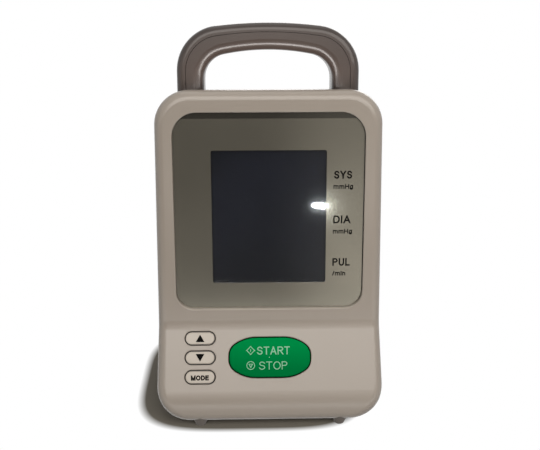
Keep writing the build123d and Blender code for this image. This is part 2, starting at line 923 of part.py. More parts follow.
# Air pump
head_left = motor_left - head_length
chamber_left = motor_left - eccentric_length - 2 * chamber_gap
with BuildPart() as pump_motor:
    with BuildSketch(cross_plane(motor_left, pump_y, pump_z)):
        Circle(motor_radius)
    extrude(amount=motor_length)
    fillet(pump_motor.edges().sort_by(Axis.X)[-1], clamp_thickness)
    with BuildSketch(cross_plane(motor_left, pump_y, pump_z)):
        Circle(shaft_radius + shaft_gap)
    extrude(amount=shaft_sunk, mode=Mode.SUBTRACT)

with BuildPart() as pump_head:
    with BuildSketch(cross_plane(motor_left, pump_y, pump_z, -1)):
        Circle(head_radius)
    extrude(amount=head_length)
    fillet(pump_head.edges().sort_by(Axis.X)[0], clamp_thickness)
    with BuildSketch(cross_plane(motor_left, pump_y, pump_z, -1)):
        Circle(chamber_radius)
    extrude(amount=motor_left - chamber_left, mode=Mode.SUBTRACT)
    with BuildSketch(cross_plane(head_left, pump_y, pump_z, -1)):
        Circle(nozzle_radius)
    extrude(amount=nozzle_length)
    with BuildSketch(cross_plane(chamber_left, pump_y, pump_z, -1)):
        Circle(tube_bore)
    extrude(amount=chamber_left - head_left + nozzle_length, mode=Mode.SUBTRACT)

with BuildPart() as pump_rotor:
    with BuildSketch(cross_plane(chamber_left + chamber_gap / 2, pump_y, pump_z)):
        Circle(shaft_radius)
    extrude(amount=motor_left - chamber_left + shaft_sunk - shaft_end_gap)
    with BuildSketch(cross_plane(chamber_left + chamber_gap, pump_y, pump_z + eccentric_offset)):
        Circle(eccentric_radius)
    extrude(amount=eccentric_length)

# A cradle on the rear wall carries the motor, held by a clamp with two screws
seat_radius = motor_radius + pilot_gap
cradle_y = pump_y + cradle_front
cradle_left = motor_left + (motor_length - cradle_width) / 2
clamp_left = motor_left + (motor_length - clamp_width) / 2
clamp_outer = seat_radius + clamp_thickness
ear_z = clamp_outer + clamp_ear / 2
cradle_reach = clamp_outer + clamp_ear
ear_places = [(clamp_left + clamp_width / 2, pump_z + side * ear_z) for side in (-1, 1)]

with BuildPart() as pump_cradle:
    with BuildSketch(Plane.XZ.offset(-cradle_y)):
        with Locations((cradle_left + cradle_width / 2, pump_z)):
            Rectangle(cradle_width, 2 * cradle_reach)
    extrude(amount=-depth)
    add(inner_form, mode=Mode.INTERSECT)
    with BuildSketch(cross_plane(cradle_left, pump_y, pump_z)):
        Circle(seat_radius)
    extrude(amount=cradle_width, mode=Mode.SUBTRACT)
    with BuildSketch(Plane.XZ.offset(-cradle_y)):
        with Locations(*ear_places):
            Circle(board_screw_radius + pilot_gap)
    extrude(amount=-board_screw_length, mode=Mode.SUBTRACT)

with BuildPart() as pump_clamp:
    with BuildSketch(cross_plane(clamp_left, pump_y, pump_z)):
        Circle(clamp_outer)
    extrude(amount=clamp_width)
    with BuildSketch(Plane.XZ.offset(-cradle_y)):
        with Locations((clamp_left + clamp_width / 2, pump_z)):
            Rectangle(clamp_width, 2 * cradle_reach)
    extrude(amount=clamp_ear_thickness)
    with BuildSketch(cross_plane(clamp_left, pump_y, pump_z)):
        Circle(seat_radius)
    extrude(amount=clamp_width, mode=Mode.SUBTRACT)
    with BuildSketch(Plane.XZ.offset(-cradle_y)):
        with Locations((clamp_left + clamp_width / 2, pump_z)):
            Rectangle(2 * clamp_width, 2 * cradle_reach)
    extrude(amount=-depth, mode=Mode.SUBTRACT)
    with BuildSketch(Plane.XZ.offset(-cradle_y)):
        with Locations(*ear_places):
            Circle(board_screw_radius + pilot_gap)
    extrude(amount=clamp_ear_thickness, mode=Mode.SUBTRACT)

with BuildPart() as cradle_screws:
    with BuildSketch(Plane.XZ.offset(-cradle_y + clamp_ear_thickness)):
        with Locations(*ear_places):
            Circle(board_screw_head_radius)
    extrude(amount=board_screw_head_height)
    with BuildSketch(Plane.XZ.offset(-cradle_y + clamp_ear_thickness)):
        with Locations(*ear_places):
            Circle(board_screw_radius)
    extrude(amount=-(clamp_ear_thickness + board_screw_length - seat_gap))

# Exhaust valve, with a core that a coil lifts off its seat
core_z = valve_low_z + core_seat
with BuildPart() as valve_body:
    with BuildSketch(Plane.XY.offset(valve_low_z)):
        with Locations((manifold_x, pump_y)):
            Rectangle(valve_size, valve_size)
    extrude(amount=valve_height)
    with BuildSketch(Plane.XY.offset(valve_low_z)):
        with Locations((manifold_x, pump_y)):
            Circle(nozzle_radius)
    extrude(amount=-nozzle_length)
    with BuildSketch(Plane.XY.offset(core_z - seat_gap)):
        with Locations((manifold_x, pump_y)):
            Circle(core_radius + core_gap)
    extrude(amount=core_length + core_travel + 2 * seat_gap, mode=Mode.SUBTRACT)
    with BuildSketch(Plane.XY.offset(valve_low_z - nozzle_length)):
        with Locations((manifold_x, pump_y)):
            Circle(tube_bore)
    extrude(amount=nozzle_length + core_seat, mode=Mode.SUBTRACT)

with BuildPart() as valve_plunger:
    with BuildSketch(Plane.XY.offset(core_z)):
        with Locations((manifold_x, pump_y)):
            Circle(core_radius)
    extrude(amount=core_length)

# Pressure sensor on the main board, in line with the manifold's front arm
sensor_bend = upper.to_local_coords(Vector(manifold_x, sensor_bend_y, pump_z))
sensor_back = main_board_back + sensor_height
with BuildPart() as pressure_sensor:
    with BuildSketch(board_back):
        with Locations((manifold_x, sensor_bend.Y)):
            Rectangle(sensor_size, sensor_size)
    extrude(amount=-sensor_height)
    with BuildSketch(upper.offset(-sensor_back)):
        with Locations((manifold_x, sensor_bend.Y)):
            Circle(nozzle_radius)
            Circle(tube_bore, mode=Mode.SUBTRACT)
    extrude(amount=-nozzle_length)

# Manifold with four arms: to the pump, the valve, the sensor and the cuff socket
arm_reach = manifold_size / 2 + nozzle_length
arm_planes = [
    cross_plane(manifold_x, pump_y, pump_z),
    Plane(origin=(manifold_x, pump_y, pump_z), z_dir=(0, 0, 1)),
    Plane(origin=(manifold_x, pump_y, pump_z), z_dir=(0, 0, -1)),
    Plane(origin=(manifold_x, pump_y, pump_z), z_dir=(0, -1, 0)),
]
with BuildPart() as air_manifold:
    with Locations((manifold_x, pump_y, pump_z)):
        Box(manifold_size, manifold_size, manifold_size)
    for plane in arm_planes:
        with BuildSketch(plane):
            Circle(nozzle_radius)
        extrude(amount=arm_reach)
    for plane in arm_planes:
        with BuildSketch(plane):
            Circle(tube_bore)
        extrude(amount=arm_reach, mode=Mode.SUBTRACT)

# Socket for the cuff's hose in the left wall, with an elbow inside
socket_x = -half_width(socket_y, socket_z) - socket_proud
socket_radius = socket_bore_radius + socket_wall
socket_end = socket_x + socket_length
elbow_x = socket_end - 2 * nozzle_radius
with BuildPart() as air_socket:
    with BuildSketch(cross_plane(socket_x, socket_y, socket_z)):
        Circle(socket_radius)
    extrude(amount=socket_length)
    with BuildSketch(cross_plane(socket_x + socket_proud + wall + seat_gap, socket_y, socket_z)):
        Circle(socket_radius + socket_flange)
    extrude(amount=socket_flange)
    with BuildSketch(Plane.XY.offset(socket_z)):
        with Locations((elbow_x, socket_y)):
            Circle(nozzle_radius)
    extrude(amount=socket_radius + nozzle_length)
    with BuildSketch(cross_plane(socket_x, socket_y, socket_z)):
        Circle(socket_bore_radius)
    extrude(amount=socket_bore_length, mode=Mode.SUBTRACT)
    with BuildSketch(cross_plane(socket_x, socket_y, socket_z)):
        Circle(tube_bore)
    extrude(amount=elbow_x - socket_x, mode=Mode.SUBTRACT)
    with BuildSketch(Plane.XY.offset(socket_z)):
        with Locations((elbow_x, socket_y)):
            Circle(tube_bore)
    extrude(amount=socket_radius + nozzle_length, mode=Mode.SUBTRACT)
    fillet(air_socket.edges().group_by(Axis.X)[0].sort_by(SortBy.LENGTH)[-1], socket_proud / 2)


def tube(points):
    """A silicone tube pushed over the nozzles at both of its ends."""
    with BuildPart() as hose:
        with BuildLine() as route:
            if len(points) == 2:
                Line(*points)
            else:
                FilletPolyline(*points, radius=tube_radii(points))
        start = route.wire() ^ 0
        with BuildSketch(Plane(origin=start.position, z_dir=Vector(*points[1]) - Vector(*points[0]))):
            Circle(nozzle_radius + tube_bore_gap + tube_wall)
            Circle(nozzle_radius + tube_bore_gap, mode=Mode.SUBTRACT)
        sweep(path=route.wire())
    return hose.part


def tube_radii(points):
    """The largest arc that each corner's two runs leave room for."""
    radii = []
    for before, corner, after in zip(points, points[1:], points[2:]):
        into = Vector(*corner) - Vector(*before)
        out = Vector(*after) - Vector(*corner)
        turn = radians(into.get_angle(out))
        radii.append(bend_share * min(into.length, out.length) / tan(turn / 2))
    return radii


manifold_face = manifold_size / 2 + seat_gap
sensor_root = upper.from_local_coords(Vector(manifold_x, sensor_bend.Y, -sensor_back - seat_gap))
nipple_root = socket_z + socket_radius + seat_gap
tubes = {
    "pump_tube": [
        (head_left - seat_gap, pump_y, pump_z),
        (manifold_x + manifold_face, pump_y, pump_z),
    ],
    "valve_tube": [
        (manifold_x, pump_y, pump_z + manifold_face),
        (manifold_x, pump_y, valve_low_z - seat_gap),
    ],
    "sensor_tube": [
        (manifold_x, pump_y - manifold_face, pump_z),
        (manifold_x, sensor_bend_y, pump_z),
        tuple(sensor_root),
    ],
    "socket_tube": [
        (manifold_x, pump_y, pump_z - manifold_face),
        (manifold_x, pump_y, pump_z - manifold_face - tube_drop),
        (elbow_x, socket_y, nipple_root + tube_drop),
        (elbow_x, socket_y, nipple_root),
    ],
}
hoses = {name: tube(points) for name, points in tubes.items()}

# Socket for the mains adapter in the right wall
jack_x = half_width(jack_y, jack_z) + jack_proud
jack_radius = jack_bore_radius + jack_wall
jack_inside = jack_x - jack_proud - wall - seat_gap
with BuildPart() as dc_jack:
    with BuildSketch(cross_plane(jack_x, jack_y, jack_z, -1)):
        Circle(jack_radius)
    extrude(amount=jack_length / 2)
    with BuildSketch(cross_plane(jack_inside, jack_y, jack_z, -1)):
        Rectangle(jack_body, jack_body)
    extrude(amount=jack_length - (jack_x - jack_inside))
    with BuildSketch(cross_plane(jack_x, jack_y, jack_z, -1)):
        Circle(jack_bore_radius)
    extrude(amount=jack_bore_length, mode=Mode.SUBTRACT)

with BuildPart() as jack_pin:
    with BuildSketch(cross_plane(jack_x - jack_bore_length, jack_y, jack_z)):
        Circle(jack_pin_radius)
    extrude(amount=jack_bore_length - jack_wall)

# Screws
with BuildPart() as case_screws:
    with BuildSketch(upper.offset(-parting_depth - screw_shelf)):
        with Locations(*case_posts):
            Circle(screw_head_radius)
    extrude(amount=-screw_head_height)
    with BuildSketch(upper.offset(-parting_depth - screw_shelf)):
        with Locations(*case_posts):
            Circle(screw_radius)
    extrude(amount=parting_depth + screw_shelf - screw_grip)

with BuildPart() as board_screws:
    for plane, places in ((board_back, board_posts), (lower.offset(-main_board_back), key_posts)):
        with BuildSketch(plane):
            with Locations(*places):
                Circle(board_screw_head_radius)
        extrude(amount=-board_screw_head_height)
        with BuildSketch(plane):
            with Locations(*places):
                Circle(board_screw_radius)
        extrude(amount=board_thickness + board_screw_length - seat_gap)

# Feet, cut to the casing's underside
foot_spread = foot_top_radius - foot_tip_radius
foot_total = foot_height + foot_sunk
foot_sunk_radius = foot_tip_radius + foot_spread * foot_total / foot_height
foot_rows = [toe_y + foot_front_setback, rear_y - foot_rear_setback]
with BuildPart() as feet:
    with Locations(*((side * foot_x, y, foot_total / 2) for side in (-1, 1) for y in foot_rows)):
        Cone(foot_tip_radius, foot_sunk_radius, foot_total)
    fillet(feet.edges().group_by(Axis.Z)[0], foot_tip_edge)
    add(outer_form, mode=Mode.SUBTRACT)

pieces = {
    "front_case": front_case,
    "rear_case": rear_case,
    "handle_cover": handle_cover,
    "display_panel": display_panel,
    "display_lens": display_lens,
    "lcd_glass": lcd_glass,
    "lcd_reflector": lcd_reflector,
    "lcd_frame": lcd_frame,
    "elastomer_strips": elastomer_strips,
    "main_board": main_board,
    "processor_chips": processor_chips,
    "board_capacitors": board_capacitors,
    "buzzer": buzzer,
    "pressure_sensor": pressure_sensor,
    "key_board": key_board,
    "switch_housings": switch_housings,
    "battery_door": battery_door,
    "battery_cells": battery_cells,
    "battery_plates": battery_plates,
    "battery_springs": battery_springs,
    "pump_motor": pump_motor,
    "pump_head": pump_head,
    "pump_rotor": pump_rotor,
    "pump_cradle": pump_cradle,
    "pump_clamp": pump_clamp,
    "cradle_screws": cradle_screws,
    "valve_body": valve_body,
    "valve_plunger": valve_plunger,
    "air_manifold": air_manifold,
    "air_socket": air_socket,
    "dc_jack": dc_jack,
    "jack_pin": jack_pin,
    "case_screws": case_screws,
    "board_screws": board_screws,
    "feet": feet,
}
finished = {name: piece.part for name, piece in pieces.items()}
finished.update((name + "_plunger", part) for name, part in plungers.items())
finished.update((name + "_button", part) for name, part in keys.items())
finished.update(hoses)
for name, part in finished.items():
    part.label = name
    export_step(part, f"parts/{name}.step")
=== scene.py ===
import math
from functools import reduce

import bmesh
import bpy
from bpy.props import FloatProperty, FloatVectorProperty, PointerProperty
from mathutils import Matrix, Vector
from mathutils.geometry import delaunay_2d_cdt


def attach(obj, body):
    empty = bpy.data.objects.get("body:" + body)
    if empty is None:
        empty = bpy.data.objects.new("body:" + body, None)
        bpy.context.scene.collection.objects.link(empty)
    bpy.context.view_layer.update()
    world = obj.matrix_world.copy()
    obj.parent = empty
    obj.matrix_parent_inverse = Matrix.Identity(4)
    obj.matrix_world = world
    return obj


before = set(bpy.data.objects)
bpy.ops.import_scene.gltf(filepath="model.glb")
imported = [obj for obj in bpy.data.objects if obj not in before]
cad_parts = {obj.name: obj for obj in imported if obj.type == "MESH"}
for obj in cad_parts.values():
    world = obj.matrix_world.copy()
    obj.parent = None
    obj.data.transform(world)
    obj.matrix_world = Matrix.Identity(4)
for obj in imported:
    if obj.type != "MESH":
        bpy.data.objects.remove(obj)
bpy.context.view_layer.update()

bl_info = {
    "name": "Blood Pressure Monitor",
    "version": (1, 0, 0),
    "blender": (4, 5, 0),
    "location": "3D View > Sidebar > Monitor",
    "description": "Finishes, printed marks and small details of a desktop blood pressure monitor",
    "category": "Object",
}

MM = 0.001

# The two front faces meet at the crease. Drawings on them are in millimetres: across, up from
# the crease, and out of the face.
CREASE = Vector((0.0, -35.477, 57.0))
UPPER_LEAN = math.radians(7.0)
LOWER_LEAN = math.radians(29.0)

PANEL_RECESS = 2.6
SMALL_KEYS = {"up": (-41.1, -7.7), "down": (-41.1, -19.0), "mode": (-41.1, -30.3)}
SMALL_KEY_TOP = 1.3
START_KEY = (0.0, -19.2)
START_KEY_TOP = 2.6
START_KEY_DOME = 170.0


def colour(name, description, default):
    """A colour that a user may change."""
    return FloatVectorProperty(
        name=name, description=description, default=default, size=3, min=0.0, max=1.0, subtype="COLOR"
    )


def length(name, description, default):
    """A length that a user may change."""
    return FloatProperty(
        name=name, description=description, default=default, min=0.0, unit="LENGTH", subtype="DISTANCE"
    )


class MonitorFinish(bpy.types.PropertyGroup):
    """Colours of the monitor's visible pieces."""

    cover: colour("Front cover", "Off-white moulding of the front cover", (0.35, 0.308, 0.268))
    shell: colour("Rear shell", "Warm grey moulding of shell and handle", (0.050, 0.038, 0.033))
    panel: colour("Display panel", "Silver paint round the display", (0.29, 0.272, 0.222))
    display: colour("Display", "Dark cell of the display", (0.008, 0.009, 0.012))
    small_key: colour("Small keys", "Pale grey of the three small keys", (0.50, 0.45, 0.39))
    # Painted shade on the small keys' sides below the face
    small_key_side_shade: colour("Small keys, sides", "Their sides, in the shade", (0.012, 0.011, 0.009))
    start_key: colour("Start key", "Green of the large key", (0.0, 0.185, 0.046))
    # Painted shade on the start key's sides below the face
    start_key_side_shade: colour("Start key, sides", "Its sides, in the shade", (0.0, 0.012, 0.004))
    ink: colour("Ink", "Ink of the words on the panel and the small keys", (0.006, 0.0055, 0.005))
    start_ink: colour("Start key ink", "Pale ink on the green key", (0.30, 0.62, 0.42))
    foot: colour("Feet", "Grey rubber of the feet", (0.16, 0.14, 0.125))
    # Painted shade on the walls of the front cover's key holes and window
    gap: colour("Gap", "Walls of the front cover's holes and window, in the shade", (0.008, 0.007, 0.006))


class MonitorPrint(bpy.types.PropertyGroup):
    """Sizes of the printed marks."""

    ink_thickness: length("Ink thickness", "How far the ink stands on its surface", 0.03 * MM)
    label_stroke: length("Label stroke", "Stroke of the words beside the display", 0.86 * MM)
    unit_stroke: length("Unit stroke", "Stroke of the units beside the display", 0.58 * MM)
    start_stroke: length("Start stroke", "Stroke of the upper word on the green key", 0.66 * MM)
    stop_stroke: length("Stop stroke", "Stroke of the lower word on the green key", 0.52 * MM)
    mode_stroke: length("Mode stroke", "Stroke of the word on the lowest small key", 0.76 * MM)
    sign_stroke: length("Sign stroke", "Stroke of the signs on the green key", 0.45 * MM)


class MonitorStage(bpy.types.PropertyGroup):
    """The photographer's place and light."""

    camera_place: FloatVectorProperty(
        name="Camera place", description="Where the camera stands",
        default=(-0.0095, -0.4572, 0.2726), size=3, subtype="XYZ", unit="LENGTH",
    )
    camera_pitch: FloatProperty(
        name="Camera pitch", description="How far the camera looks down from level",
        default=math.radians(19.89), subtype="ANGLE", unit="ROTATION",
    )
    camera_turn: FloatProperty(
        name="Camera turn", description="How far the camera is turned to the left",
        default=math.radians(-1.334), subtype="ANGLE", unit="ROTATION",
    )
    camera_lens: FloatProperty(
        name="Camera lens", description="Focal length",
        default=52.68, subtype="DISTANCE_CAMERA", unit="CAMERA",
    )
    key_power: FloatProperty(
        name="Key lamp", description="Power of the wide soft lamp above the front",
        default=6.7, subtype="POWER", unit="POWER",
    )
    sky: FloatProperty(
        name="Room light", description="Strength of the light from all round", default=0.15
    )
    card_dark: FloatProperty(
        name="Card, left", description="Brightness of the mirrored card's left part", default=0.3
    )
    card_bright: FloatProperty(
        name="Card, right", description="Brightness of its right part", default=1.0
    )
    spark_place: FloatVectorProperty(
        name="Lamp's mirror image",
        description="Where the display mirrors the small lamp, across and up from the crease",
        default=(30.0 * MM, 71.2 * MM), size=2, unit="LENGTH",
    )


# The two front faces as planes to draw on


def face_plane(origin, lean):
    """A plane that leans back from upright, with its X across and its Y up the face."""
    up = Vector((0.0, math.sin(lean), math.cos(lean)))
    out = Vector((0.0, -math.cos(lean), math.sin(lean)))
    return Matrix.Translation(origin * MM) @ Matrix((
        (1.0, up.x, out.x, 0.0),
        (0.0, up.y, out.y, 0.0),
        (0.0, up.z, out.z, 0.0),
        (0.0, 0.0, 0.0, 1.0),
    ))


UPPER = face_plane(CREASE, UPPER_LEAN)
LOWER = face_plane(CREASE, LOWER_LEAN)


def start_key_surface(x, y):
    """Height of the domed key above its face, in millimetres."""
    dx, dy = x - START_KEY[0], y - START_KEY[1]
    return START_KEY_TOP - START_KEY_DOME + math.sqrt(START_KEY_DOME**2 - dx * dx - dy * dy)


# Lettering in strokes. A letter is a width, as a share of the capital height, and the middle
# lines of its strokes in a box that is one wide and one high.

# How far the two arcs of a ring go past its top and bottom, in degrees, and the steps of each
RING_OVERLAP = 10
RING_STEPS = 20


def arc(x, y, across, up, start, end, steps=12):
    """Points along part of an ellipse, from one angle to another in degrees."""
    turns = [math.radians(start + (end - start) * i / steps) for i in range(steps + 1)]
    return [(x + across * math.cos(turn), y + up * math.sin(turn)) for turn in turns]


def ring_strokes(x, y, across, up):
    """A closed ring as two arcs that overlap."""
    left = arc(x, y, across, up, 90 - RING_OVERLAP, 270 + RING_OVERLAP, RING_STEPS)
    right = arc(x, y, across, up, -90 - RING_OVERLAP, 90 + RING_OVERLAP, RING_STEPS)
    return [left, right]


# Height of the small letters, and of the middle bars of E and H
SMALL_HEIGHT = 0.74
BAR_HEIGHT = 0.52

D_BOWL = [(0, 1), (0.45, 1), *arc(0.45, 0.5, 0.55, 0.5, 80, -80, 16), (0.45, 0), (0, 0)]
P_BOWL = [(0, 1), (0.55, 1), *arc(0.55, 0.75, 0.45, 0.25, 80, -80), (0.55, 0.5), (0, 0.5)]
LETTERS = {
    "A": (0.89, [[(0, 0), (0.5, 1)], [(0.5, 1), (1, 0)], [(0.17, 0.33), (0.83, 0.33)]]),
    "D": (0.83, [[(0, 0), (0, 1)], D_BOWL]),
    "E": (0.74, [[(1, 1), (0, 1), (0, 0), (1, 0)], [(0, BAR_HEIGHT), (0.9, BAR_HEIGHT)]]),
    "H": (0.79, [[(0, 0), (0, 1)], [(1, 0), (1, 1)], [(0, BAR_HEIGHT), (1, BAR_HEIGHT)]]),
    "I": (0.13, [[(0.5, 0), (0.5, 1)]]),
    "L": (0.64, [[(0, 1), (0, 0), (1, 0)]]),
    "M": (0.96, [[(0, 0), (0, 1)], [(0, 1), (0.5, 0)], [(0.5, 0), (1, 1)], [(1, 1), (1, 0)]]),
    "O": (0.97, ring_strokes(0.5, 0.5, 0.5, 0.5)),
    "P": (0.75, [[(0, 0), (0, 1)], P_BOWL]),
    "R": (0.83, [[(0, 0), (0, 1)], P_BOWL, [(0.5, 0.5), (1, 0)]]),
    "S": (0.80, [[*arc(0.5, 0.755, 0.46, 0.245, 15, 270), *arc(0.5, 0.255, 0.5, 0.255, 80, -165)]]),
    "T": (0.81, [[(0.5, 0), (0.5, 1)], [(0, 1), (1, 1)]]),
    "U": (0.79, [[(0, 1), (0, 0.36), *arc(0.5, 0.36, 0.5, 0.36, 190, 350, 16), (1, 0.36), (1, 1)]]),
    "Y": (0.89, [[(0, 1), (0.5, 0.42)], [(1, 1), (0.5, 0.42)], [(0.5, 0), (0.5, 0.5)]]),
    "g": (0.64, [
        *ring_strokes(0.5, SMALL_HEIGHT / 2, 0.5, SMALL_HEIGHT / 2),
        [(1, SMALL_HEIGHT), (1, 0), *arc(0.5, -0.02, 0.5, 0.24, -10, -160)],
    ]),
    "i": (0.12, [[(0.5, 0), (0.5, SMALL_HEIGHT)], [(0.5, 0.96), (0.5, 1)]]),
    "m": (0.98, [
        [(0, 0), (0, SMALL_HEIGHT)],
        [(0, 0.45), *arc(0.25, 0.5, 0.25, 0.24, 170, 10), (0.5, 0)],
        [(0.5, 0.45), *arc(0.75, 0.5, 0.25, 0.24, 170, 10), (1, 0)],
    ]),
    "n": (0.60, [[(0, 0), (0, SMALL_HEIGHT)], [(0, 0.4), *arc(0.5, 0.45, 0.5, 0.29, 170, 10), (1, 0)]]),
    "/": (0.42, [[(0, 0), (1, 1)]]),
}

# Between two letters, as a share of the capital height: usual, and on the lowest small key
LETTER_GAP = 0.13
MODE_LETTER_GAP = 0.06

# A stroke that rises or falls more steeply than this has a level end, any other a square one.
STEEP = 0.35

# Words: the text, its left and right end, and the line that it stands on. Those on a key are
# placed from the middle of the key.
ROW_NAMES = (("SYS", 37.5, 47.8, 87.1), ("DIA", 37.3, 47.1, 60.85), ("PUL", 37.2, 47.4, 35.2))
ROW_NAME_HEIGHT = 4.65
ROW_UNITS = (("mmHg", 37.2, 48.5, 81.2), ("mmHg", 37.2, 48.4, 54.75), ("/min", 37.2, 44.7, 29.25))
ROW_UNIT_HEIGHT = 2.75
MODE_WORD = ("MODE", -5.3, 5.2, -1.85)
MODE_WORD_HEIGHT = 2.95
START_WORD = ("START", -7.5, 11.8, 1.6)
STOP_WORD = ("STOP", -6.4, 10.2, -7.1)
START_WORD_HEIGHT = 4.7

# Signs on the keys, with places from the middle of the key
ARROW_HALF_SIZE = (2.6, 2.2)
START_SIGN = (-11.3, 4.1)
STOP_SIGN = (-11.3, -4.6)
SIGN_RADIUS = 2.3
START_BAR = 0.6
STOP_TRIANGLE_HALF_WIDTH = 1.0
STOP_TRIANGLE_TOP = 0.75
STOP_TRIANGLE_TIP = -1.15
DOT = (-0.3, 0.05)
DOT_RADIUS = 0.3
DOT_CORNERS = 24

# For the triangulation: it keeps only the faces inside the outlines, and takes corners that are
# closer than this for one.
INSIDE_ONLY = 1
SAME_CORNER = 1e-5


def ribbon(points, width):
    """The outline of a stroke along its middle line, with level or square ends."""
    line = [Vector(point) for point in points]
    ways = [(b - a).normalized() for a, b in zip(line, line[1:])]
    half = width / 2
    right, left = [], []
    for i, point in enumerate(line):
        before, after = ways[max(i - 1, 0)], ways[min(i, len(ways) - 1)]
        side = Vector((before.y + after.y, -before.x - after.x))
        side *= half / (1 + before.dot(after))
        ends = [point + side, point - side]
        if i in (0, len(line) - 1):
            out = -after if i == 0 else before
            if abs(out.y) > STEEP:
                level = point.y + math.copysign(half, out.y)
                ends = [end + out * ((level - end.y) / out.y) for end in ends]
            else:
                ends = [end + out * half for end in ends]
        right.append(ends[0])
        left.append(ends[1])
    return right + left[::-1]


def word_outlines(origin, word, height, stroke, letter_gap=LETTER_GAP):
    """Outlines of a word that fills its width, placed from an origin."""
    text, left, right, low = word
    left, right, low = origin[0] + left, origin[0] + right, origin[1] + low
    shares = [LETTERS[letter][0] for letter in text]
    across = (right - left - letter_gap * height * (len(text) - 1)) / sum(shares)
    outlines = []
    for letter, share in zip(text, shares):
        wide = max(share * across, stroke)
        corner_x, corner_y = left + stroke / 2, low + stroke / 2
        span_x, span_y = wide - stroke, height - stroke
        for line in LETTERS[letter][1]:
            middle = [(corner_x + x * span_x, corner_y + y * span_y) for x, y in line]
            outlines.append(ribbon(middle, stroke))
        left += wide + letter_gap * height
    return outlines


def figure_outlines(corners, stroke):
    """Outlines of the strokes along the sides of a closed figure."""
    return [ribbon(side, stroke) for side in zip(corners, corners[1:] + corners[:1])]


def arrow_outline(key, way):
    """A solid triangle on a key, which points up with a way of 1 and down with -1."""
    x, y = key
    across, up = (half * way for half in ARROW_HALF_SIZE)
    return [(x - across, y - up), (x + across, y - up), (x, y + up)]


def start_sign_outlines(x, y, stroke):
    """A diamond with a short bar in it."""
    corners = [(x + SIGN_RADIUS, y), (x, y + SIGN_RADIUS), (x - SIGN_RADIUS, y), (x, y - SIGN_RADIUS)]
    bar = [(x, y - START_BAR), (x, y + START_BAR)]
    return figure_outlines(corners, stroke) + [ribbon(bar, stroke)]


def stop_sign_outlines(x, y, stroke):
    """A ring with a small triangle in it that points down."""
    ring = [ribbon(half, stroke) for half in ring_strokes(x, y, SIGN_RADIUS, SIGN_RADIUS)]
    left, right = x - STOP_TRIANGLE_HALF_WIDTH, x + STOP_TRIANGLE_HALF_WIDTH
    top, tip = y + STOP_TRIANGLE_TOP, y + STOP_TRIANGLE_TIP
    return ring + figure_outlines([(left, top), (x, tip), (right, top)], stroke)


def dot_outline(x, y):
    """A round dot as a polygon with equal sides."""
    return arc(x, y, DOT_RADIUS, DOT_RADIUS, 0, 360 - 360 / DOT_CORNERS, DOT_CORNERS - 1)


def add_flat(form, outlines, thickness):
    """A thin plate of all the outlines together, with no face inside another."""
    corners, rings = [], []
    for outline in outlines:
        rings.append(list(range(len(corners), len(corners) + len(outline))))
        corners += [Vector(point) for point in outline]
    points, _, faces, _, _, sources = delaunay_2d_cdt(corners, [], rings, INSIDE_ONLY, SAME_CORNER)
    faces = [face for face, source in zip(faces, sources) if source]
    used = sorted({corner for face in faces for corner in face})
    top = {i: form.verts.new((*points[i], thickness)) for i in used}
    low = {i: form.verts.new((*points[i], 0.0)) for i in used}
    sides = {(face[i - 1], face[i]) for face in faces for i in range(len(face))}
    for face in faces:
        form.faces.new([top[i] for i in face])
        form.faces.new([low[i] for i in reversed(face)])
    for a, b in sides:
        if (b, a) not in sides:
            form.faces.new((low[a], low[b], top[b], top[a]))


def print_piece(name, outlines, thickness, plane, height, material, body):
    """Prints outlines in millimetres on a face, and gives the print its body."""
    form = bmesh.new()
    add_flat(form, outlines, thickness)
    for vertex in form.verts:
        x, y, z = vertex.co
        base = height(x, y) if callable(height) else height
        vertex.co = plane @ (Vector((x, y, base + z)) * MM)
    mesh = bpy.data.meshes.new(name)
    form.to_mesh(mesh)
    form.free()
    mesh.materials.append(material)
    piece = bpy.data.objects.new(name, mesh)
    bpy.context.scene.collection.objects.link(piece)
    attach(piece, body)


# Steps in a tree of nodes that the finishes and the stage share


def node_material(name):
    """A new material that is made of nodes."""
    material = bpy.data.materials.new(name)
    material.use_nodes = True
    return material


def maths(tree, operation, first, second=0.0):
    """One sum on two values, each a number or what a node puts out."""
    node = tree.nodes.new("ShaderNodeMath")
    node.operation = operation
    for socket, value in zip(node.inputs, (first, second)):
        if isinstance(value, float):
            socket.default_value = value
        else:
            tree.links.new(value, socket)
    return node.outputs[0]


def combined(tree, operation, values):
    """The same sum on several values, one after another."""
    return reduce(lambda first, second: maths(tree, operation, first, second), values)


def ramp(tree, value, low, high, to_low=0.0, to_high=1.0):
    """Turns one range of values into another, and keeps to its ends beyond them."""
    node = tree.nodes.new("ShaderNodeMapRange")
    node.inputs["From Min"].default_value = low
    node.inputs["From Max"].default_value = high
    node.inputs["To Min"].default_value = to_low
    node.inputs["To Max"].default_value = to_high
    tree.links.new(value, node.inputs["Value"])
    return node.outputs["Result"]


def mixed_colour(tree, share, first, second):
    """One colour that gives way to another as the share goes from 0 to 1."""
    mix = tree.nodes.new("ShaderNodeMix")
    mix.data_type = "RGBA"
    for socket, value in ((mix.inputs["A"], first), (mix.inputs["B"], second)):
        if isinstance(value, tuple):
            socket.default_value = value
        else:
            tree.links.new(value, socket)
    tree.links.new(share, mix.inputs["Factor"])
    return mix.outputs["Result"]


def object_place(tree):
    """The place in the object's own coordinates, which are those of the whole monitor."""
    return tree.nodes.new("ShaderNodeTexCoord").outputs["Object"]


def object_axes(tree):
    """The same place, one axis at a time."""
    axes = tree.nodes.new("ShaderNodeSeparateXYZ")
    tree.links.new(object_place(tree), axes.inputs[0])
    return axes.outputs


def scaled(tint, factor):
    """The same colour, made darker or lighter."""
    return tuple(part * factor for part in tint)


# Finishes

# The part of the lower face that holds the keys, across and along it, and how deep it goes
KEY_ZONE = ((-52.0 * MM, 52.0 * MM), (-38.0 * MM, -3.0 * MM))
GAP_DEPTH = 5.0 * MM

# How far under the lower face the shade starts: on the walls of the keys' holes, and on the keys'
# own sides, where it starts a little above the face
HOLE_SHADE = 0.1 * MM
KEY_SHADE = -0.3 * MM
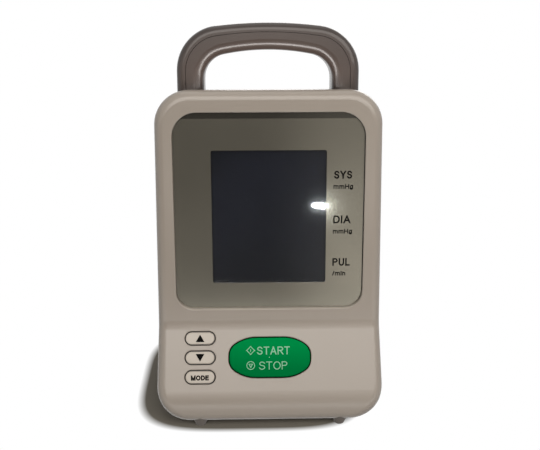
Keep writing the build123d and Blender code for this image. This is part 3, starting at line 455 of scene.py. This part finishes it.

# Painted light on the large key's upper part, as if its dome faced the lamp: where along the lower
# face the green starts and ends to get lighter, and how much
START_KEY_PAINTED_LIGHT_SPAN = (-26.0 * MM, -11.0 * MM)
START_KEY_PAINTED_LIGHT = 1.5

# Zones of painted shade, across, along and out of the upper face: the window's upper and right
# walls, and the panel's upper margin
WINDOW_SHADE = ((-50.0 * MM, 57.0 * MM), (20.0 * MM, 128.0 * MM), (-5.0 * MM, -0.3 * MM))
PANEL_SHADE = ((-60.0 * MM, 60.0 * MM), (121.6 * MM, 127.0 * MM), (-6.0 * MM, -1.0 * MM))
PANEL_SHADE_LIGHT = 0.35

# The soft end of a shade
BAND_END = 0.2 * MM


class Finish:
    """A material with its own small tree of nodes, built up step by step."""

    def __init__(self, name, base, roughness, metallic=0.0):
        self.material = node_material(name)
        self.tree = self.material.node_tree
        self.shader = self.tree.nodes["Principled BSDF"]
        self.place = object_place(self.tree)
        self.base = tuple(base)
        self.colour = (*base, 1.0)
        self.set("Base Color", self.colour)
        self.set("Roughness", roughness)
        self.set("Metallic", metallic)

    def set(self, socket, value):
        """Gives a value to one of the shader's sockets."""
        self.shader.inputs[socket].default_value = value
        return self

    def noise(self, scale, detail, place=None):
        """Cloudy noise between 0 and 1."""
        node = self.tree.nodes.new("ShaderNodeTexNoise")
        node.inputs["Scale"].default_value = scale
        node.inputs["Detail"].default_value = detail
        self.tree.links.new(place or self.place, node.inputs["Vector"])
        return node.outputs["Fac"]

    def streaks(self, scales):
        """Noise with a scale of its own along each axis."""
        mapping = self.tree.nodes.new("ShaderNodeMapping")
        mapping.inputs["Scale"].default_value = scales
        self.tree.links.new(self.place, mapping.inputs["Vector"])
        return self.noise(scale=1.0, detail=0.0, place=mapping.outputs["Vector"])

    def blend_colour(self, share, other):
        """Lays another colour over the colour so far."""
        self.colour = mixed_colour(self.tree, share, self.colour, (*other, 1.0))
        self.tree.links.new(self.colour, self.shader.inputs["Base Color"])
        return self

    def slope(self, plane, axis, low, high):
        """0 up to one distance along one of a plane's axes, 1 from the other on."""
        direction = plane.to_3x3().col[axis]
        start = plane.translation.dot(direction)
        node = self.tree.nodes.new("ShaderNodeVectorMath")
        node.operation = "DOT_PRODUCT"
        node.inputs[1].default_value = direction
        self.tree.links.new(self.place, node.inputs[0])
        return ramp(self.tree, node.outputs["Value"], start + low, start + high)

    def band(self, plane, axis, low, high):
        """1 between two distances along one of a plane's axes, 0 outside them, with soft ends."""
        rise = self.slope(plane, axis, low, low + BAND_END)
        fall = self.slope(plane, axis, high - BAND_END, high)
        return maths(self.tree, "MULTIPLY", rise, maths(self.tree, "SUBTRACT", 1.0, fall))

    def inside(self, plane, zone, other):
        """Another colour in a zone: its lowest and highest place along each of a plane's axes."""
        bands = [self.band(plane, axis, low, high) for axis, (low, high) in enumerate(zone)]
        return self.blend_colour(combined(self.tree, "MULTIPLY", bands), other)

    def below(self, depth, other):
        """Another colour under the lower face, for painted shade in the gaps beside the keys."""
        return self.inside(LOWER, (*KEY_ZONE, (-GAP_DEPTH, -depth)), other)

    def shades(self, scale, amount):
        """Soft cloudy shades, a little darker than the base."""
        clouds = ramp(self.tree, self.noise(scale, detail=3.0), low=0.35, high=0.75)
        return self.blend_colour(clouds, scaled(self.base, 1 - amount))

    def worn(self, scale, low, high):
        """Roughness that changes over the surface, as handling leaves it."""
        wear = ramp(self.tree, self.noise(scale, detail=4.0), low=0.3, high=0.7, to_low=low, to_high=high)
        self.tree.links.new(wear, self.shader.inputs["Roughness"])
        return self

    def grain(self, scale, depth, strength=0.3):
        """A fine bump all over the surface."""
        node = self.tree.nodes.new("ShaderNodeBump")
        node.inputs["Strength"].default_value = strength
        node.inputs["Distance"].default_value = depth
        self.tree.links.new(self.noise(scale, detail=2.0), node.inputs["Height"])
        self.tree.links.new(node.outputs["Normal"], self.shader.inputs["Normal"])
        return self

    def give(self, *names):
        """Puts the finish on CAD nodes, in place of their plain ones."""
        for name in names:
            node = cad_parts[name]
            if not node.material_slots:
                node.data.materials.append(self.material)
            for slot in node.material_slots:
                slot.material = self.material


def gloss_moulding(name, base, roughness):
    """Glossy moulded plastic: flow shades, a faint orange peel and some handling."""
    made = Finish(name, base, roughness)
    made.shades(scale=14.0, amount=0.006)
    made.worn(scale=45.0, low=roughness - 0.02, high=roughness + 0.015)
    return made.grain(scale=420.0, depth=0.02 * MM, strength=0.25)


def silver_paint(base):
    """Silver paint with fine flakes under a clear coat, in the shade at its upper margin."""
    made = Finish("silver_panel_paint", base, roughness=0.17, metallic=0.9)
    made.shades(scale=40.0, amount=0.06)
    flakes = ramp(made.tree, made.noise(scale=2600.0, detail=1.0), low=0.56, high=0.72, to_high=0.35)
    made.blend_colour(flakes, scaled(base, 1.6))
    made.inside(UPPER, PANEL_SHADE, scaled(base, PANEL_SHADE_LIGHT))
    return made.set("Coat Weight", 1.0).set("Coat Roughness", 0.06).set("Coat IOR", 1.5)


def clear_lens():
    """A thin clear plate, wiped but not quite clean."""
    made = Finish("clear_lens", base=(0.93, 0.95, 0.96), roughness=0.1)
    made.set("Transmission Weight", 1.0).set("IOR", 1.12)
    made.set("Coat Weight", 0.4).set("Coat Roughness", 0.05)
    return made.worn(scale=90.0, low=0.1, high=0.13)


def display_cell(base):
    """The dark cell of a display that is switched off, a little bluer in places."""
    made = Finish("display_cell", base, roughness=0.2).set("Specular IOR Level", 0.0)
    clouds = ramp(made.tree, made.noise(scale=16.0, detail=1.0), low=0.35, high=0.7)
    return made.blend_colour(clouds, (0.012, 0.013, 0.019))


def striped_silicone():
    """Thin dark layers in pink silicone, side by side across the object."""
    made = Finish("striped_silicone", base=(0.55, 0.22, 0.30), roughness=0.6)
    layers = ramp(made.tree, made.streaks((3000.0, 1.0, 1.0)), low=0.48, high=0.52)
    return made.blend_colour(layers, (0.03, 0.03, 0.03))


def circuit_board():
    """Green lacquer with the tracks faintly lighter under it."""
    made = Finish("circuit_board", base=(0.015, 0.09, 0.035), roughness=0.35)
    tracks = ramp(made.tree, made.streaks((240.0, 240.0, 1400.0)), low=0.5, high=0.52)
    return made.blend_colour(tracks, (0.03, 0.15, 0.06)).grain(scale=1500.0, depth=0.01 * MM)


def ink(name, base):
    """Matt ink, slightly uneven."""
    made = Finish(name, base, roughness=0.7).set("Specular IOR Level", 0.02)
    return made.shades(scale=900.0, amount=0.15).grain(scale=4000.0, depth=0.005 * MM).material


COVER_ROUGHNESS = 0.25
KEY_ROUGHNESS = 0.3


class MONITOR_OT_covers(bpy.types.Operator):
    """Finish the front cover, the rear shell, the battery door and the handle's front half."""

    bl_idname = "monitor.covers"
    bl_label = "Covers and Handle"

    def execute(self, context):
        finish = context.scene.monitor_finish
        cover = gloss_moulding("front_cover_gloss", finish.cover, COVER_ROUGHNESS)
        # Painted shade on the walls of the key holes, and on the window's upper and right walls
        cover.below(HOLE_SHADE, finish.gap).inside(UPPER, WINDOW_SHADE, finish.gap)
        cover.give("front_case")
        shell = gloss_moulding("rear_shell_gloss", finish.shell, COVER_ROUGHNESS)
        shell.set("Specular IOR Level", 0.35).set("Coat Weight", 0.1).set("Coat Roughness", 0.06)
        shell.give("rear_case", "handle_cover", "battery_door")
        return {"FINISHED"}


class MONITOR_OT_display(bpy.types.Operator):
    """Finish the silver panel, the lens and the dark display behind it."""

    bl_idname = "monitor.display"
    bl_label = "Display"

    def execute(self, context):
        finish = context.scene.monitor_finish
        silver_paint(finish.panel).give("display_panel")
        clear_lens().give("display_lens")
        display_cell(finish.display).give("lcd_glass")
        film = Finish("reflecting_film", base=(0.6, 0.6, 0.6), roughness=0.35, metallic=1.0)
        film.grain(scale=900.0, depth=0.01 * MM)
        film.give("lcd_reflector")
        holder = Finish("white_holder", base=(0.72, 0.71, 0.68), roughness=0.5)
        holder.shades(scale=60.0, amount=0.05).grain(scale=700.0, depth=0.02 * MM)
        holder.give("lcd_frame")
        striped_silicone().give("elastomer_strips")
        return {"FINISHED"}


class MONITOR_OT_panel_words(bpy.types.Operator):
    """Print the row names and their units beside the display."""

    bl_idname = "monitor.panel_words"
    bl_label = "Panel Words"

    def execute(self, context):
        marks = context.scene.monitor_print
        crease = (0.0, 0.0)
        outlines = []
        for word in ROW_NAMES:
            outlines += word_outlines(crease, word, ROW_NAME_HEIGHT, marks.label_stroke / MM)
        for word in ROW_UNITS:
            outlines += word_outlines(crease, word, ROW_UNIT_HEIGHT, marks.unit_stroke / MM)
        print_piece(
            "panel_words", outlines, marks.ink_thickness / MM, UPPER, -PANEL_RECESS,
            ink("panel_ink", context.scene.monitor_finish.ink), "housing",
        )
        return {"FINISHED"}


class MONITOR_OT_small_keys(bpy.types.Operator):
    """Finish the three small keys and print their arrows and word."""

    bl_idname = "monitor.small_keys"
    bl_label = "Small Keys"

    def execute(self, context):
        finish, marks = context.scene.monitor_finish, context.scene.monitor_print
        pale = gloss_moulding("small_key_gloss", finish.small_key, KEY_ROUGHNESS)
        # Painted shade on the keys' sides below the face
        pale.below(KEY_SHADE, finish.small_key_side_shade)
        pale.give("up_button", "down_button", "mode_button")

        word = word_outlines(
            SMALL_KEYS["mode"], MODE_WORD, MODE_WORD_HEIGHT, marks.mode_stroke / MM, MODE_LETTER_GAP
        )
        prints = (
            ("up", "up_sign", [arrow_outline(SMALL_KEYS["up"], 1)]),
            ("down", "down_sign", [arrow_outline(SMALL_KEYS["down"], -1)]),
            ("mode", "mode_word", word),
        )
        dark = ink("key_ink", finish.ink)
        for key, name, outlines in prints:
            print_piece(
                name, outlines, marks.ink_thickness / MM, LOWER, SMALL_KEY_TOP,
                dark, key + "_key",
            )
        return {"FINISHED"}


class MONITOR_OT_start_key(bpy.types.Operator):
    """Finish the large green key and print its words and signs."""

    bl_idname = "monitor.start_key"
    bl_label = "Start Key"

    def execute(self, context):
        finish, marks = context.scene.monitor_finish, context.scene.monitor_print
        green = gloss_moulding("start_key_gloss", finish.start_key, KEY_ROUGHNESS)
        # Painted light: the green gets lighter towards the key's upper part
        painted_light_share = green.slope(LOWER, 1, *START_KEY_PAINTED_LIGHT_SPAN)
        green.blend_colour(painted_light_share, scaled(finish.start_key, START_KEY_PAINTED_LIGHT))
        # Painted shade on the key's sides below the face
        green.below(KEY_SHADE, finish.start_key_side_shade)
        green.set("Specular IOR Level", 0.0)
        green.give("start_stop_button")

        x, y = START_KEY
        outlines = word_outlines(START_KEY, START_WORD, START_WORD_HEIGHT, marks.start_stroke / MM)
        outlines += word_outlines(START_KEY, STOP_WORD, START_WORD_HEIGHT, marks.stop_stroke / MM)
        outlines += start_sign_outlines(x + START_SIGN[0], y + START_SIGN[1], marks.sign_stroke / MM)
        outlines += stop_sign_outlines(x + STOP_SIGN[0], y + STOP_SIGN[1], marks.sign_stroke / MM)
        outlines.append(dot_outline(x + DOT[0], y + DOT[1]))
        print_piece(
            "start_stop_words", outlines, marks.ink_thickness / MM, LOWER, start_key_surface,
            ink("start_key_ink", finish.start_ink), "start_stop_key",
        )
        return {"FINISHED"}


class MONITOR_OT_boards(bpy.types.Operator):
    """Finish the two circuit boards and what is soldered to them."""

    bl_idname = "monitor.boards"
    bl_label = "Circuit Boards"

    def execute(self, context):
        circuit_board().give("main_board", "key_board")
        black = Finish("black_epoxy", base=(0.02, 0.02, 0.021), roughness=0.5)
        black.shades(scale=200.0, amount=0.3).grain(scale=1800.0, depth=0.02 * MM)
        black.give("processor_chips", "buzzer", "switch_housings")
        black.give("up_plunger", "down_plunger", "mode_plunger", "start_stop_plunger")
        sleeve = Finish("capacitor_sleeve", base=(0.02, 0.03, 0.06), roughness=0.28)
        sleeve.shades(scale=120.0, amount=0.2).grain(scale=600.0, depth=0.01 * MM)
        sleeve.give("board_capacitors")
        return {"FINISHED"}


class MONITOR_OT_air_line(bpy.types.Operator):
    """Finish the mouldings of the pump and the sensor, the tubes and the sockets."""

    bl_idname = "monitor.air_line"
    bl_label = "Air Line and Sockets"

    def execute(self, context):
        sensor = Finish("sensor_moulding", base=(0.62, 0.60, 0.54), roughness=0.45)
        sensor.shades(scale=150.0, amount=0.06).grain(scale=1200.0, depth=0.02 * MM)
        sensor.give("pressure_sensor", "air_manifold")
        pump = Finish("pump_moulding", base=(0.035, 0.035, 0.037), roughness=0.5)
        pump.shades(scale=90.0, amount=0.2).grain(scale=900.0, depth=0.03 * MM)
        pump.give("pump_head")
        rubber = Finish("black_rubber", base=(0.03, 0.03, 0.03), roughness=0.75)
        rubber.shades(scale=80.0, amount=0.25).grain(scale=1100.0, depth=0.03 * MM)
        rubber.give("pump_cradle")
        silicone = Finish("milky_silicone", base=(0.70, 0.70, 0.66), roughness=0.4)
        silicone.shades(scale=70.0, amount=0.05).grain(scale=500.0, depth=0.01 * MM)
        silicone.set("Subsurface Weight", 0.4).set("Subsurface Scale", 2.0 * MM)
        silicone.give("pump_tube", "valve_tube", "sensor_tube", "socket_tube")
        socket = Finish("socket_moulding", base=(0.05, 0.05, 0.052), roughness=0.42)
        socket.shades(scale=100.0, amount=0.2).grain(scale=900.0, depth=0.02 * MM)
        socket.give("air_socket", "dc_jack")
        return {"FINISHED"}


class MONITOR_OT_metal_parts(bpy.types.Operator):
    """Finish the screws, the contacts and the metal parts of the pump and the valve."""

    bl_idname = "monitor.metal_parts"
    bl_label = "Metal Parts"

    def execute(self, context):
        steel = Finish("zinc_plated_steel", base=(0.55, 0.55, 0.54), roughness=0.34, metallic=1.0)
        steel.worn(scale=220.0, low=0.26, high=0.48).grain(scale=900.0, depth=0.01 * MM)
        steel.give("pump_motor", "pump_clamp", "pump_rotor", "valve_body", "valve_plunger")
        steel.give("case_screws", "board_screws", "cradle_screws")
        nickel = Finish("bright_nickel", base=(0.66, 0.64, 0.60), roughness=0.2, metallic=1.0)
        nickel.worn(scale=300.0, low=0.14, high=0.3).grain(scale=1400.0, depth=0.005 * MM)
        nickel.give("battery_plates", "battery_springs", "jack_pin")
        return {"FINISHED"}


class MONITOR_OT_batteries(bpy.types.Operator):
    """Finish the battery cells."""

    bl_idname = "monitor.batteries"
    bl_label = "Batteries"

    def execute(self, context):
        sleeve = Finish("cell_sleeve", base=(0.035, 0.04, 0.05), roughness=0.3, metallic=0.4)
        sleeve.shades(scale=60.0, amount=0.2).grain(scale=700.0, depth=0.01 * MM)
        sleeve.give("battery_cells")
        return {"FINISHED"}


class MONITOR_OT_feet(bpy.types.Operator):
    """Finish the rubber feet."""

    bl_idname = "monitor.feet"
    bl_label = "Feet"

    def execute(self, context):
        rubber = Finish("grey_rubber", base=context.scene.monitor_finish.foot, roughness=0.7)
        rubber.shades(scale=90.0, amount=0.12).grain(scale=1300.0, depth=0.03 * MM)
        rubber.give("feet")
        return {"FINISHED"}


# Stage, in metres

# Where the lamps point, unless another place is given
MIDDLE = (0.0, 0.0, 0.11)

FLOOR_REACH = 6.0
# Dark colour of the floor round the base: a painted shadow patch, in which the object's real shadow also
# shows
PAINTED_SHADOW_FLOOR_COLOUR = (0.17, 0.157, 0.13, 1.0)
FLOOR_ROUGHNESS = 0.9

# Where the floor shows a painted shadow patch with the real shade on it: the middle and the half
# size, across and back, of a box with round corners. The patch turns to white between the two values that
# away_from gives.
SHADE_UNDER = ((-0.0115, 0.002), (0.0695, 0.0615))
SHADE_END = (0.85, 1.15)
ROUND_CORNERS = 4.0

# The mirrored card lies in front of the monitor from near to far, and stands up at its far end.
CARD_HALF_WIDTH = 0.6
CARD_NEAR = -0.3
CARD_FAR = -0.62
CARD_FLOOR = 0.001
CARD_TOP = 0.27
CARD_TINT = (1.0, 0.96, 0.9, 1.0)

# Across, the card turns from dark to bright between two places. Upwards, its light goes down
# between two heights, from the first share to the second.
CARD_FADE = (0.02, 0.11)
CARD_DIM_HEIGHTS = (0.0, 0.22)
CARD_DIM_SHARES = (0.85, 0.3)

# The bounce card lies closer to the base.
BOUNCE_HALF_WIDTH = 0.25
BOUNCE_NEAR = -0.12
BOUNCE_FAR = -0.26
BOUNCE_FLOOR = 0.002
BOUNCE_STRENGTH = 3.0

# The lamps above the front, over the top and behind
KEY_LAMP = {"place": (0.14, -0.66, 0.58), "size": (1.2, 0.5), "tint": (1.0, 0.955, 0.9)}
TOP_LAMP = {"place": (0.0, 0.1, 1.0), "size": (0.6, 0.6), "power": 0.7, "tint": (1.0, 0.97, 0.93)}
BACK_LAMP = {"place": (0.25, 0.85, 0.5), "size": (0.8, 0.5), "power": 3.0, "tint": (1.0, 0.97, 0.94)}

# A strip of light that shines level at the front cover
LOW_STRIP = {
    "place": (0.06, -0.36, 0.122),
    "size": (0.4, 0.076),
    "power": 0.12,
    "tint": (1.0, 0.97, 0.93),
    "target": (0.06, 0.64, 0.122),
}

# A strip of light in front of the handle's opening, which shines at the grip from below
HANDLE_STRIP = {
    "place": UPPER @ Vector((0.0, 133.0 * MM, 8.0 * MM)),
    "size": (0.09, 0.01),
    "power": 0.036,
    "tint": (1.0, 0.95, 0.92),
    "target": UPPER @ Vector((0.0, 160.0 * MM, -18.0 * MM)),
}

# The small lamp that the display mirrors, and its power for each piece
SPARK_DISTANCE = 0.2
SPARK_SIZE = (14.0 * MM, 3.8 * MM)
SPARK_TINT = (0.9, 0.97, 1.0)
SPARK_POWERS = {"display_lens": 0.04, "display_panel": 0.0045, "handle_cover": 0.02}

# Width of the camera's sensor, in millimetres
SENSOR_WIDTH = 36.0


def away_from(tree, centre, half_size):
    """How far out each place lies, 1 on the outline of a box with round corners."""
    axes = object_axes(tree)
    powers = []
    for axis in (0, 1):
        distance = maths(tree, "ABSOLUTE", maths(tree, "SUBTRACT", axes[axis], centre[axis]))
        ratio = maths(tree, "DIVIDE", distance, half_size[axis])
        powers.append(maths(tree, "POWER", ratio, ROUND_CORNERS))
    return combined(tree, "ADD", powers)


def add_sheet(name, corners, faces, material):
    """A flat thing on the stage, which is no part of the monitor."""
    mesh = bpy.data.meshes.new(name)
    mesh.from_pydata(corners, [], faces)
    mesh.materials.append(material)
    sheet = bpy.data.objects.new(name, mesh)
    bpy.context.scene.collection.objects.link(sheet)
    return sheet


def add_glowing_card(name, corners, faces):
    """A card that neither the camera nor matt surfaces see, with the tree and light of its material."""
    paint = node_material(name)
    tree = paint.node_tree
    glow = tree.nodes.new("ShaderNodeEmission")
    tree.links.new(glow.outputs[0], tree.nodes["Material Output"].inputs["Surface"])
    card = add_sheet(name, corners, faces, paint)
    card.visible_camera = False
    card.visible_diffuse = False
    card.visible_shadow = False
    return card, tree, glow


def add_lamp(name, place, size, power, tint, target=MIDDLE):
    """A lamp with a rectangular face that points at its target."""
    light = bpy.data.lights.new(name, "AREA")
    light.shape = "RECTANGLE"
    light.size, light.size_y = size
    light.energy = power
    light.color = tint
    lamp = bpy.data.objects.new(name, light)
    bpy.context.scene.collection.objects.link(lamp)
    lamp.visible_camera = False
    lamp.location = place
    lamp.rotation_euler = (Vector(target) - Vector(place)).to_track_quat("-Z", "Y").to_euler()
    return lamp


def light_only(lamp, *names):
    """Lets a lamp shine on the named CAD nodes alone."""
    lit = bpy.data.collections.new(lamp.name + "_lit")
    for name in names:
        lit.objects.link(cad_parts[name])
    lamp.light_linking.receiver_collection = lit
    lamp.visible_transmission = False


class MONITOR_OT_stage(bpy.types.Operator):
    """Set up the floor, the light of the room, the lamps and the camera."""

    bl_idname = "monitor.stage"
    bl_label = "Stage"

    def execute(self, context):
        stage = context.scene.monitor_stage
        context.scene.view_settings.view_transform = "Standard"
        self.lay_floor()
        self.light_room(context.scene, stage.sky)
        add_lamp("key_lamp", **KEY_LAMP, power=stage.key_power)
        add_lamp("top_lamp", **TOP_LAMP)
        self.add_mirrored_card(stage)
        self.add_bounce_card()
        self.set_camera(context.scene, stage)
        add_lamp("back_lamp", **BACK_LAMP)
        self.add_low_lamps()
        self.add_spark(Vector(stage.camera_place), stage.spark_place)
        return {"FINISHED"}

    def lay_floor(self):
        """A floor with a painted shadow patch round the base, where the object's real shadow also falls,
        and white further out and in reflections.
        """
        paper = node_material("pale_floor")
        tree = paper.node_tree
        matt = tree.nodes["Principled BSDF"]
        matt.inputs["Base Color"].default_value = PAINTED_SHADOW_FLOOR_COLOUR
        matt.inputs["Roughness"].default_value = FLOOR_ROUGHNESS
        glow = tree.nodes.new("ShaderNodeEmission")
        mix = tree.nodes.new("ShaderNodeMixShader")
        white = ramp(tree, away_from(tree, *SHADE_UNDER), *SHADE_END)
        path = tree.nodes.new("ShaderNodeLightPath").outputs
        seen_white = maths(tree, "MULTIPLY", path["Is Camera Ray"], white)
        share = combined(tree, "MAXIMUM", (seen_white, path["Is Glossy Ray"], path["Is Transmission Ray"]))
        tree.links.new(share, mix.inputs["Fac"])
        tree.links.new(matt.outputs[0], mix.inputs[1])
        tree.links.new(glow.outputs[0], mix.inputs[2])
        tree.links.new(mix.outputs[0], tree.nodes["Material Output"].inputs["Surface"])
        reach = FLOOR_REACH
        corners = [(-reach, -reach, 0.0), (reach, -reach, 0.0), (reach, reach, 0.0), (-reach, reach, 0.0)]
        add_sheet("floor", corners, [(0, 1, 2, 3)], paper)

    def light_room(self, scene, sky):
        """Weak light from all round, from a room that is white wherever it is seen or mirrored."""
        world = bpy.data.worlds.new("studio")
        world.use_nodes = True
        scene.world = world
        tree = world.node_tree
        path = tree.nodes.new("ShaderNodeLightPath").outputs
        rays = (path["Is Camera Ray"], path["Is Glossy Ray"], path["Is Transmission Ray"])
        seen = combined(tree, "MAXIMUM", rays)
        shade = mixed_colour(tree, seen, (sky, sky, sky, 1.0), (1.0, 1.0, 1.0, 1.0))
        tree.links.new(shade, tree.nodes["Background"].inputs["Color"])

    def set_camera(self, scene, stage):
        """The camera, where the photographer stood."""
        camera = bpy.data.objects.new("camera", bpy.data.cameras.new("camera"))
        scene.collection.objects.link(camera)
        camera.location = stage.camera_place
        camera.rotation_euler = (math.pi / 2 - stage.camera_pitch, 0.0, stage.camera_turn)
        camera.data.sensor_fit = "HORIZONTAL"
        camera.data.sensor_width = SENSOR_WIDTH
        camera.data.lens = stage.camera_lens
        scene.camera = camera

    def add_mirrored_card(self, stage):
        """A card in front, dark on the left and bright on the right, and dimmer towards its top."""
        half = CARD_HALF_WIDTH
        corners = [
            (-half, CARD_NEAR, CARD_FLOOR), (half, CARD_NEAR, CARD_FLOOR),
            (half, CARD_FAR, CARD_FLOOR), (-half, CARD_FAR, CARD_FLOOR),
            (half, CARD_FAR, CARD_TOP), (-half, CARD_FAR, CARD_TOP),
        ]
        _, tree, glow = add_glowing_card("mirrored_card", corners, [(0, 1, 2, 3), (3, 2, 4, 5)])
        glow.inputs["Color"].default_value = CARD_TINT
        axes = object_axes(tree)
        across = ramp(tree, axes["X"], *CARD_FADE, stage.card_dark, stage.card_bright)
        up = ramp(tree, axes["Z"], *CARD_DIM_HEIGHTS, *CARD_DIM_SHARES)
        tree.links.new(maths(tree, "MULTIPLY", across, up), glow.inputs["Strength"])

    def add_bounce_card(self):
        """A bright strip in front of the base, for the undersides of rounded edges."""
        half, floor = BOUNCE_HALF_WIDTH, BOUNCE_FLOOR
        corners = [
            (-half, BOUNCE_FAR, floor), (half, BOUNCE_FAR, floor),
            (half, BOUNCE_NEAR, floor), (-half, BOUNCE_NEAR, floor),
        ]
        card, _, glow = add_glowing_card("bounce_card", corners, [(0, 1, 2, 3)])
        card.visible_transmission = False
        glow.inputs["Strength"].default_value = BOUNCE_STRENGTH

    def add_low_lamps(self):
        """Two strips for the light that the table throws up, one on the cover and one on the handle."""
        low = add_lamp("low_strip", **LOW_STRIP)
        low.visible_diffuse = False
        light_only(low, "front_case")
        light_only(add_lamp("handle_strip", **HANDLE_STRIP), "rear_case", "handle_cover")

    def add_spark(self, eye, mark):
        """A small lamp whose mirror image lies on the display's right edge."""
        face = UPPER @ Vector((mark[0], mark[1], -PANEL_RECESS * MM))
        mirrored = (face - eye).normalized().reflect(UPPER.to_3x3().col[2])
        place = face + mirrored * SPARK_DISTANCE
        for node, power in SPARK_POWERS.items():
            lamp = add_lamp("spark_on_" + node, place, SPARK_SIZE, power, SPARK_TINT, target=face)
            lamp.visible_diffuse = False
            light_only(lamp, node)


STEPS = (
    MONITOR_OT_covers,
    MONITOR_OT_display,
    MONITOR_OT_panel_words,
    MONITOR_OT_small_keys,
    MONITOR_OT_start_key,
    MONITOR_OT_boards,
    MONITOR_OT_air_line,
    MONITOR_OT_metal_parts,
    MONITOR_OT_batteries,
    MONITOR_OT_feet,
    MONITOR_OT_stage,
)

GROUPS = {"monitor_finish": MonitorFinish, "monitor_print": MonitorPrint, "monitor_stage": MonitorStage}


class MONITOR_PT_steps(bpy.types.Panel):
    """The monitor's steps and sizes in the sidebar."""

    bl_label = "Blood Pressure Monitor"
    bl_idname = "MONITOR_PT_steps"
    bl_space_type = "VIEW_3D"
    bl_region_type = "UI"
    bl_category = "Monitor"

    def draw(self, context):
        for step in STEPS:
            self.layout.operator(step.bl_idname)
        for name in GROUPS:
            group = getattr(context.scene, name)
            box = self.layout.box()
            for setting in group.bl_rna.properties.keys():
                if setting not in ("rna_type", "name"):
                    box.prop(group, setting)


CLASSES = (*GROUPS.values(), *STEPS, MONITOR_PT_steps)


def register():
    for made in CLASSES:
        bpy.utils.register_class(made)
    for name, group in GROUPS.items():
        setattr(bpy.types.Scene, name, PointerProperty(type=group))


def unregister():
    for name in GROUPS:
        delattr(bpy.types.Scene, name)
    for made in reversed(CLASSES):
        bpy.utils.unregister_class(made)


def main():
    register()
    for step in STEPS:
        group, operator = step.bl_idname.split(".")
        getattr(getattr(bpy.ops, group), operator)()


if __name__ == "__main__":
    main()
